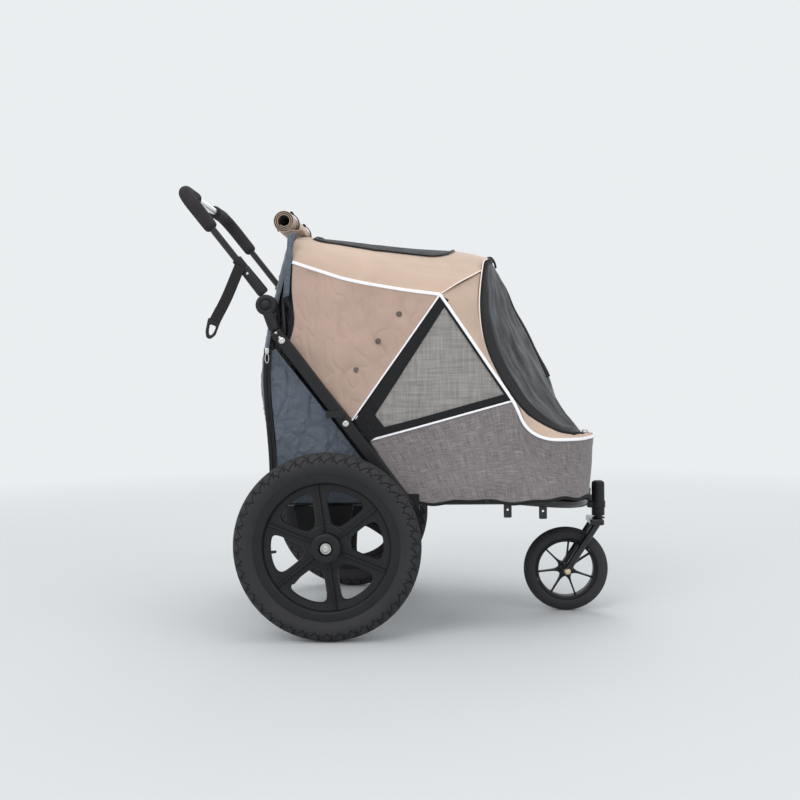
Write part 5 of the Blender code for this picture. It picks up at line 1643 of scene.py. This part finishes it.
def build_tubes():
    """The bent tubes of the frame."""
    quarter = np.radians(np.linspace(0, 90, 26))[:, None]
    nose_x, half_y, level = 0.583, 0.184, 0.290
    nose = np.hstack(
        [
            0.400 + (nose_x - 0.400) * np.sin(quarter) ** 0.9,
            half_y * np.cos(quarter) ** 0.9,
            level - 0.022 * np.sin(quarter),
        ]
    )
    nose[-1, 1] = 0.0
    path = mirrored(
        np.vstack([[(-0.112, half_y, level), (0.100, half_y, level), (0.300, half_y, level)], nose])
    )
    parts = [tube(path, 0.011, (0, 0, 1), 28)]
    parts.append(bar((nose_x, 0, 0.2702), (STEM_X - 0.0150, 0, 0.2702), (0, 0, 1), 0.0125, 0.0075, 0.0020))
    for _, sign in SIDES:
        for x, y, low in ((0.3913, 0.184, 0.2498), (0.4699, 0.1745, 0.2451)):
            parts.append(tab(x, sign * y, low, level - 0.004))
    made = piece("chassis_tube", parts, "frame_black")
    fit(made, "chassis", ["chassis_tube"])

    head = softened(
        [
            (0, 0.3115), (0.0095, 0.3105), (0.0145, 0.3070), (0.0152, 0.3000), (0.0152, 0.2630),
            (0.0170, 0.2622), (0.0170, 0.2462), (0.0152, 0.2455), (0.0152, 0.2278), (0.0104, 0.2275),
            (0.0104, 0.2980), (0, 0.2980),
        ],
        0.0010,
        4,
        closed=False,
    )
    parts = [patch(turned(head, (STEM_X, 0, 0), (0, 0, 1), 64), around=True)]
    parts.append(
        bar((STEM_X - 0.026, 0, 0.2540), (STEM_X - 0.012, 0, 0.2540), (0, 0, 1), 0.0105, 0.0075, 0.0020)
    )
    fit(piece("head_tube", parts, "frame_matt"), "chassis", ["head_tube"])

    hinge, foot = along(RAIL_ANGLE, 0.4465), along(RAIL_ANGLE, 0.2173)
    routes = {
        "rear_hoop": (
            [
                (hinge[0], HOOP_Y, hinge[1]), (-0.1045, HOOP_Y, 0.740), (-0.074, HOOP_Y, 0.853),
                (-0.074, 0.0, 0.853),
            ],
            [0.15, 0.040],
            hinge,
        ),
        "front_hoop": (
            [
                (foot[0], HOOP_Y, foot[1]), (0.2360, HOOP_Y, 0.7270), (0.3250, 0.1150, 0.7820),
                (0.3500, 0.045, 0.8210), (0.3500, 0.0, 0.8210),
            ],
            [0.060, 0.060, 0.040],
            foot,
        ),
    }
    for name, (corners, radii, (x, z)) in routes.items():
        parts, heads = [tube(mirrored(bent(corners, radii)), 0.008, (1, 0, 0.01), 24)], []
        for _, sign in SIDES:
            eye = softened(
                [(0, -0.0080), (0.0100, -0.0080), (0.0105, 0.0080), (0, 0.0080)], 0.0010, 3, closed=False
            )
            parts.append(patch(turned(eye, (x, sign * HOOP_Y, z), (0, sign, 0), 32), around=True))
            shaft = [(0, 0.006), (0.0040, 0.006), (0.0040, 0.0440), (0, 0.0440)]
            parts.append(patch(turned(shaft, (x, sign * 0.1855, z), (0, sign, 0), 20), around=True))
            head = softened(
                [(0, 0.0030), (0.0025, 0.0036), (0.0060, 0.0032), (0.0076, 0.0012), (0.0076, 0.0)],
                0.0008,
                3,
                closed=False,
            )
            heads.append(patch(turned(head, (x, sign * 0.2274, z), (0, sign, 0), 36), around=True))
        fit(piece(name, parts, "frame_black"), name, [name])
        fit(piece(f"{name}_bolts", heads, "steel"), name)


def tab(x, y, low, top):
    """A towing tab: a plate with a bored hole, as a ring grid from the hole to the edge on both faces."""
    count = 48
    angle = np.linspace(0, TAU, count, endpoint=False) + math.pi / 4
    hole = np.stack([x + 0.0026 * np.cos(angle), low + 0.0175 + 0.0026 * np.sin(angle)], axis=1)
    reach_x, up, down = 0.0088, top - low - 0.0175, 0.0175
    c, s = np.cos(angle), np.sin(angle)
    scale = np.minimum(
        reach_x / np.maximum(np.abs(c), 1e-9), np.where(s > 0, up, down) / np.maximum(np.abs(s), 1e-9)
    )
    edge = np.stack([x + c * scale, low + 0.0175 + s * scale], axis=1)
    share = np.array([0, 1, 1, 0])[None, :, None]
    plane = hole[:, None] * (1 - share) + edge[:, None] * share
    depth = np.array([-0.0015, -0.0015, 0.0015, 0.0015])
    grid = np.stack([plane[..., 0], np.broadcast_to(y + depth, plane.shape[:2]), plane[..., 1]], axis=-1)
    return patch(grid, around=True, along=True)


def build_handle():
    """The push bar with a light grey metal sleeve on its middle, the foam grips and the strap that holds
    the folded frame.
    """
    leg, top = handle_at(-0.0395), handle_at(0.212)
    corners = [(leg[0], RAIL_Y, leg[1]), (top[0], RAIL_Y, top[1]), (top[0], 0.0, top[1])]
    path = bent(corners, [0.048], 16)
    square = (math.sin(HANDLE_ANGLE), 0, -math.cos(HANDLE_ANGLE))
    made = piece("handle_bar", tube(mirrored(path), 0.008, square, 28), "frame_black")
    fit(made, "handle", ["handle_bar"])
    # A light grey metal sleeve over the bar's middle.
    middle = np.array([(top[0], y, top[1]) for y in np.linspace(-0.089, 0.089, 12)])
    made = piece("bare_middle", tube(middle, 0.0084, square, 28), "bare_tube")
    fit(made, "handle")

    low = handle_at(0.1010)
    route = even(
        bent([(low[0], RAIL_Y, low[1]), (top[0], RAIL_Y, top[1]), (top[0], 0.088, top[1])], [0.048], 16), 70
    )
    s = np.linspace(0, 1, 70)
    swell_out = 1 - 0.30 * np.exp(-s / 0.012) - 0.30 * np.exp(-(1 - s) / 0.012) + 0.03 * np.sin(s * math.pi)
    for side, sign in SIDES:
        line = route * [1, sign, 1]
        made = piece(
            f"grip_{side}",
            patch(sweep(line, ring(0.0152, 32), square, size=swell_out), along=True, caps=True),
            "foam_grip",
        )
        fit(made, "handle", [f"grip_{side}"])

    strap_y = -0.2296
    spline = spline_through([(-0.1880, 0.8110), (-0.2185, 0.7430), (-0.2466, 0.6900)], 60)
    line = in_plane(spline, strap_y)
    line[:, 1] -= 0.0006 * np.sin(np.linspace(0, 9, 60))
    parts = [strip(line, (0, -1, 0), 0.0122, 0.0010)]
    fold = in_plane(spline[46:], strap_y - 0.0022)
    parts.append(strip(fold, (0, -1, 0), 0.0122, 0.0009))
    made = piece("fold_strap", parts, "webbing")
    fit(made, "handle", ["fold_strap"])

    spot = handle_at(0.0020)
    ahead = (math.cos(HANDLE_ANGLE), 0, math.sin(HANDLE_ANGLE))
    collar = softened([(0.0112, 0.0135), (0.0112, -0.0135), (0.0084, -0.0135), (0.0084, 0.0135)], 0.0008, 3)
    made = piece(
        "strap_collar",
        patch(turned(collar, (spot[0], -RAIL_Y, spot[1]), ahead, 40), around=True, along=True),
        "webbing",
    )
    fit(made, "handle", ["strap_collar"])

    outline = np.array(
        [
            (-0.2335, 0.6905), (-0.2600, 0.7000), (-0.2668, 0.6700), (-0.2652, 0.6560), (-0.2570, 0.6520),
            (-0.2450, 0.6610),
        ]
    )
    inner = np.array(
        [
            (-0.2425, 0.6800), (-0.2570, 0.6855), (-0.2600, 0.6700), (-0.2590, 0.6625), (-0.2550, 0.6605),
            (-0.2490, 0.6660),
        ]
    )
    outer_line, inner_line = (softened(o, 0.0045, 6) for o in (outline, inner))
    share = np.array([0.0, 0.12, 0.5, 0.88, 1.0, 1.0, 0.88, 0.5, 0.12, 0.0])[None, :, None]
    depth = np.array([0.0016, 0.0026, 0.0030, 0.0026, 0.0016, -0.0016, -0.0026, -0.0030, -0.0026, -0.0016])
    plane = inner_line[:, None] * (1 - share) + outer_line[:, None] * share
    grid = np.stack(
        [plane[..., 0], np.broadcast_to(strap_y + depth, plane.shape[:2]), plane[..., 1]], axis=-1
    )
    made = piece("strap_hook", patch(grid, around=True, along=True), "moulded_black", sharp=60)
    fit(made, "handle", ["strap_hook"])


def build_joints():
    """The round-edged mouldings at the handle's knuckles, with their domed buttons and rivets."""
    x, z = KNUCKLE_X, KNUCKLE_Z
    for side, sign in SIDES:
        disc = softened(
            [
                (0, 0.2255), (0.0123, 0.2255), (0.0124, 0.2330), (0.0150, 0.2336), (0.0205, 0.2325),
                (0.0226, 0.2300), (0.0226, 0.2172), (0, 0.2172),
            ],
            0.0011,
            4,
            closed=False,
        )
        foot = along(RAIL_ANGLE, 0.4730)
        start, end = np.array([x + 0.0015, sign * 0.2245, z - 0.010]), np.array(
            [foot[0] - 0.002, sign * 0.2180, foot[1] + 0.003]
        )
        arm = start + (end - start) * np.linspace(0, 1, 20)[:, None]
        size = np.interp(np.linspace(0, 1, 20), [0, 0.85, 0.95, 1], [1, 1, 0.97, 0.85])
        parts = [
            patch(turned(disc, (x, 0, z), (0, sign, 0), 64), around=True),
            patch(sweep(arm, ring(0.0120, 32), (0, 1, 0), size=size), along=True, caps=True),
        ]
        made = piece(f"knuckle_base_{side}", parts, "moulded_black")
        fit(made, "side_frame", [f"knuckle_base_{side}"])
        button = softened(
            [
                (0, 0.2392), (0.0045, 0.2388), (0.0085, 0.2368), (0.0100, 0.2340), (0.0118, 0.2335),
                (0.0119, 0.2262), (0, 0.2262),
            ],
            0.0012,
            4,
            closed=False,
        )
        made = piece(
            f"knuckle_button_{side}",
            patch(turned(button, (x, 0, z), (0, sign, 0), 48), around=True),
            "moulded_black",
        )
        fit(made, f"button_{side}", [f"knuckle_button_{side}"])
        socket = softened(
            [
                (0, 0.2168), (0.0210, 0.2168), (0.0226, 0.2150), (0.0226, 0.2055), (0.0205, 0.2040),
                (0, 0.2040),
            ],
            0.0011,
            4,
            closed=False,
        )
        low, high = handle_at(-0.0800), handle_at(-0.0118)
        line = np.array([low[0], sign * 0.2155, low[1]]) + (
            np.array([high[0], sign * RAIL_Y, high[1]]) - np.array([low[0], sign * 0.2155, low[1]])
        ) * np.linspace(0, 1, 30)[:, None]
        size = np.interp(
            np.linspace(0, 1, 30), [0, 0.06, 0.5, 0.93, 0.97, 1.0], [0.9, 1.03, 1.0, 0.94, 0.97, 0.90]
        )
        parts = [
            patch(turned(socket, (x, 0, z), (0, sign, 0), 64), around=True),
            patch(sweep(line, ring(0.0126, 36), (0, 1, 0), size=size), along=True, caps=True),
        ]
        made = piece(f"knuckle_socket_{side}", parts, "moulded_black")
        fit(made, "handle", [f"knuckle_socket_{side}"])
        spot = handle_at(-0.026)
        rivet = softened([(0, 0.0016), (0.0020, 0.0014), (0.0030, 0.0)], 0.0006, 3, closed=False)
        made = piece(
            f"sleeve_rivet_{side}",
            patch(
                turned(rivet, (spot[0], sign * (RAIL_Y + 0.0118), spot[1]), (0, sign, 0), 24), around=True
            ),
            "steel",
        )
        fit(made, "handle")
        spots = [along(RAIL_ANGLE, 0.4680), along(RAIL_ANGLE, 0.4550)]
        screws = [
            patch(turned(rivet, (px, sign * 0.2272, pz), (0, sign, 0), 24), around=True) for px, pz in spots
        ]
        fit(piece(f"rail_screws_{side}", screws, "steel"), "side_frame")


def build_pedal():
    """The brake pedal: a sleeve on the axle, an arm and a ribbed pad."""
    tilt = math.radians(228)
    way, over = np.array([math.cos(tilt), 0, math.sin(tilt)]), np.array(
        [math.sin(tilt), 0, -math.cos(tilt)]
    )
    centre = np.array([0, 0, AXLE_Z])
    sleeve = softened([(0.0170, 0.014), (0.0170, -0.014), (0.0114, -0.014), (0.0114, 0.014)], 0.0015, 3)
    parts = [
        patch(turned(sleeve, centre, (0, 1, 0), 40), around=True, along=True),
        bar(centre + way * 0.0135, centre + way * 0.106, over, 0.010, 0.006, 0.003),
        bar(centre + way * 0.100, centre + way * 0.178, over, 0.033, 0.0065, 0.004),
    ]
    for k in range(5):
        spot = centre + way * (0.112 + 0.013 * k) + over * 0.0064
        parts.append(bar(spot - [0, 0.027, 0], spot + [0, 0.027, 0], over, 0.0016, 0.0012, 0.0007, 2))
    made = piece("brake_pedal", parts, "moulded_black")
    fit(made, "brake_pedal", ["brake_pedal"])


def finish_frame():
    """Finishes for the frame's own parts that keep their shape."""
    finishes = {
        "rear_cross_tube": "frame_black",
        "axle_beam": "frame_black",
        "axle_bracket": "frame_matt",
        "axle_pin": "steel",
        "pivot_bracket": "frame_matt",
        "side_rail": "frame_matt",
        "fold_latch": "moulded_black",
        "brake_ring": "steel",
        "brake_pin": "steel",
        "floor_board": "floor_board",
    }
    for name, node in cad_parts.items():
        base = name.removesuffix("_left").removesuffix("_right")
        if base in finishes and not node.hide_render:
            node.data.materials.clear()
            node.data.materials.append(finish(finishes[base]))


# ---------------------------------------------------------------- stage
def add_light(name, location, target, size, energy):
    data = bpy.data.lights.new(name, "AREA")
    data.shape = "DISK"
    data.size = size
    data.energy = energy
    lamp = bpy.data.objects.new(name, data)
    lamp.location = location
    aim = unit(np.array(target, float) - np.array(location, float))
    side = unit(np.cross(aim, [0, 0, 1]))
    up = np.cross(side, aim)
    lamp.rotation_euler = Matrix(np.stack([side, up, -aim], axis=1).tolist()).to_euler()
    bpy.context.scene.collection.objects.link(lamp)


def build_stage():
    settings = bpy.context.scene.stroller_stage
    reach = 14.0
    grid = np.stack(
        np.meshgrid(np.linspace(-reach, reach, 9), np.linspace(-reach, reach, 9), [-0.0005], indexing="ij"),
        axis=-1,
    )[:, :, 0]
    mesh_patch = patch(grid, outward=(0, 0, 1))
    floor_finish = Finish("stroller_floor", Roughness=0.95, Specular_IOR_Level=0.0, Emission_Strength=1.0)
    sky = (1.04, 1.07, 1.09)
    place = floor_finish.object_place()
    far = floor_finish.between(
        floor_finish.node("ShaderNodeVectorMath", {"operation": "LENGTH"}, [place], "Value"), 0.9, 3.6
    )
    colour = floor_finish.mix(
        floor_finish.noise(3.0), shade(settings.floor, 0.995), shade(settings.floor, 1.005)
    )
    floor_finish.set(
        Base_Color=floor_finish.mix(far, colour, (0.0, 0.0, 0.0)),
        Emission_Color=floor_finish.mix(far, (0.0, 0.0, 0.0), tuple(c * settings.sky for c in sky)),
    )
    floor = piece("floor", mesh_patch, "floor")

    world = bpy.data.worlds.new("pale_surroundings")
    world.use_nodes = True
    background = world.node_tree.nodes["Background"]
    background.inputs["Color"].default_value = (*sky, 1.0)
    background.inputs["Strength"].default_value = settings.sky
    bpy.context.scene.world = world

    target = (0.0, 0.0, 0.45)
    add_light("key", (-1.6, -2.6, 2.7), target, 2.2, settings.key)
    add_light("fill", (2.4, -2.2, 1.6), target, 2.0, settings.key * 0.40)
    add_light("rim", (0.4, 2.2, 2.4), target, 1.8, settings.key * 0.45)
    add_light("top", (0.2, -0.2, 3.0), target, 1.6, settings.key * 0.35)

    camera = bpy.data.objects.new("camera", bpy.data.cameras.new("camera"))
    camera.data.lens = 44.63
    camera.data.sensor_width = 36.0
    camera.data.clip_end = 100.0
    camera.location = (0.1152, -2.3824, 0.5779)
    camera.rotation_euler = [math.radians(angle) for angle in (88.315, 0.727, 2.884)]
    bpy.context.scene.collection.objects.link(camera)
    bpy.context.scene.camera = camera


# ---------------------------------------------------------------- operators
def both_sides(work):
    for side, sign in SIDES:
        work(side, sign)


class STROLLER_OT_side_panels(bpy.types.Operator):
    """Builds the beige side panels and their snap buttons"""

    bl_idname = "stroller.side_panels"
    bl_label = "Side panels"

    def execute(self, context):
        both_sides(build_side_panel)
        return {"FINISHED"}


class STROLLER_OT_windows(bpy.types.Operator):
    """Builds the netting windows and their tapes"""

    bl_idname = "stroller.windows"
    bl_label = "Windows"

    def execute(self, context):
        both_sides(build_window)
        return {"FINISHED"}


class STROLLER_OT_tub(bpy.types.Operator):
    """Builds the melange band round the tub and the white piping"""

    bl_idname = "stroller.tub"
    bl_label = "Tub"

    def execute(self, context):
        build_band()
        build_piping()
        return {"FINISHED"}


class STROLLER_OT_roof(bpy.types.Operator):
    """Builds the roof with its opening, net and zip"""

    bl_idname = "stroller.roof"
    bl_label = "Roof"

    def execute(self, context):
        build_roof()
        return {"FINISHED"}


class STROLLER_OT_rolled_cover(bpy.types.Operator):
    """Builds the cover rolled up behind the roof opening"""

    bl_idname = "stroller.rolled_cover"
    bl_label = "Rolled cover"

    def execute(self, context):
        build_rolled_cover()
        return {"FINISHED"}


class STROLLER_OT_front(bpy.types.Operator):
    """Builds the front surround and its zip"""

    bl_idname = "stroller.front"
    bl_label = "Front"

    def execute(self, context):
        build_front()
        return {"FINISHED"}


class STROLLER_OT_door(bpy.types.Operator):
    """Builds the net door"""

    bl_idname = "stroller.door"
    bl_label = "Door"

    def execute(self, context):
        build_door()
        return {"FINISHED"}


class STROLLER_OT_back(bpy.types.Operator):
    """Builds the slate back and rear side panels"""

    bl_idname = "stroller.back"
    bl_label = "Back"

    def execute(self, context):
        both_sides(build_rear_side)
        build_back()
        return {"FINISHED"}


class STROLLER_OT_rear_wheels(bpy.types.Operator):
    """Builds the treaded rear wheels"""

    bl_idname = "stroller.rear_wheels"
    bl_label = "Rear wheels"

    def execute(self, context):
        both_sides(build_rear_wheel)
        return {"FINISHED"}


class STROLLER_OT_front_wheel(bpy.types.Operator):
    """Builds the front wheel and its fork"""

    bl_idname = "stroller.front_wheel"
    bl_label = "Front wheel"

    def execute(self, context):
        build_front_wheel()
        build_caster_fork()
        return {"FINISHED"}


class STROLLER_OT_tubes(bpy.types.Operator):
    """Builds the bent tubes, the knuckles and the brake pedal"""

    bl_idname = "stroller.tubes"
    bl_label = "Tubes"

    def execute(self, context):
        build_tubes()
        build_joints()
        build_pedal()
        return {"FINISHED"}


class STROLLER_OT_handle(bpy.types.Operator):
    """Builds the handle bar, its grips and the strap"""

    bl_idname = "stroller.handle"
    bl_label = "Handle"

    def execute(self, context):
        build_handle()
        return {"FINISHED"}


class STROLLER_OT_mat(bpy.types.Operator):
    """Builds the padded floor mat"""

    bl_idname = "stroller.mat"
    bl_label = "Floor mat"

    def execute(self, context):
        build_mat()
        return {"FINISHED"}


class STROLLER_OT_hardware(bpy.types.Operator):
    """Gives the frame's own parts their finishes"""

    bl_idname = "stroller.hardware"
    bl_label = "Frame finishes"

    def execute(self, context):
        finish_frame()
        return {"FINISHED"}


class STROLLER_OT_stage(bpy.types.Operator):
    """Adds the floor, the lights and the camera"""

    bl_idname = "stroller.stage"
    bl_label = "Stage"

    def execute(self, context):
        build_stage()
        return {"FINISHED"}


STEPS = (
    STROLLER_OT_side_panels,
    STROLLER_OT_windows,
    STROLLER_OT_tub,
    STROLLER_OT_roof,
    STROLLER_OT_rolled_cover,
    STROLLER_OT_front,
    STROLLER_OT_door,
    STROLLER_OT_back,
    STROLLER_OT_rear_wheels,
    STROLLER_OT_front_wheel,
    STROLLER_OT_tubes,
    STROLLER_OT_handle,
    STROLLER_OT_mat,
    STROLLER_OT_hardware,
    STROLLER_OT_stage,
)
SETTINGS = {
    "stroller_cloth": StrollerClothSettings,
    "stroller_wheels": StrollerWheelSettings,
    "stroller_stage": StrollerStageSettings,
}


class STROLLER_PT_panel(bpy.types.Panel):
    """Lists the build steps and the settings"""

    bl_label = "Pet Stroller"
    bl_idname = "STROLLER_PT_panel"
    bl_space_type = "VIEW_3D"
    bl_region_type = "UI"
    bl_category = "Pet Stroller"

    def draw(self, context):
        for name, kind in SETTINGS.items():
            box = self.layout.box()
            for key in kind.__annotations__:
                box.prop(getattr(context.scene, name), key)
        for step in STEPS:
            self.layout.operator(step.bl_idname)


def register():
    for kind in (*SETTINGS.values(), *STEPS, STROLLER_PT_panel):
        bpy.utils.register_class(kind)
    for name, kind in SETTINGS.items():
        setattr(bpy.types.Scene, name, bpy.props.PointerProperty(type=kind))


def unregister():
    for name in SETTINGS:
        delattr(bpy.types.Scene, name)
    for kind in (STROLLER_PT_panel, *STEPS, *SETTINGS.values()):
        bpy.utils.unregister_class(kind)


def main():
    register()
    for step in STEPS:
        group, name = step.bl_idname.split(".")
        if getattr(getattr(bpy.ops, group), name)() != {"FINISHED"}:
            raise RuntimeError(f"{step.bl_label} did not finish")
    bpy.context.scene.view_settings.view_transform = "Standard"


if __name__ == "__main__":
    main()
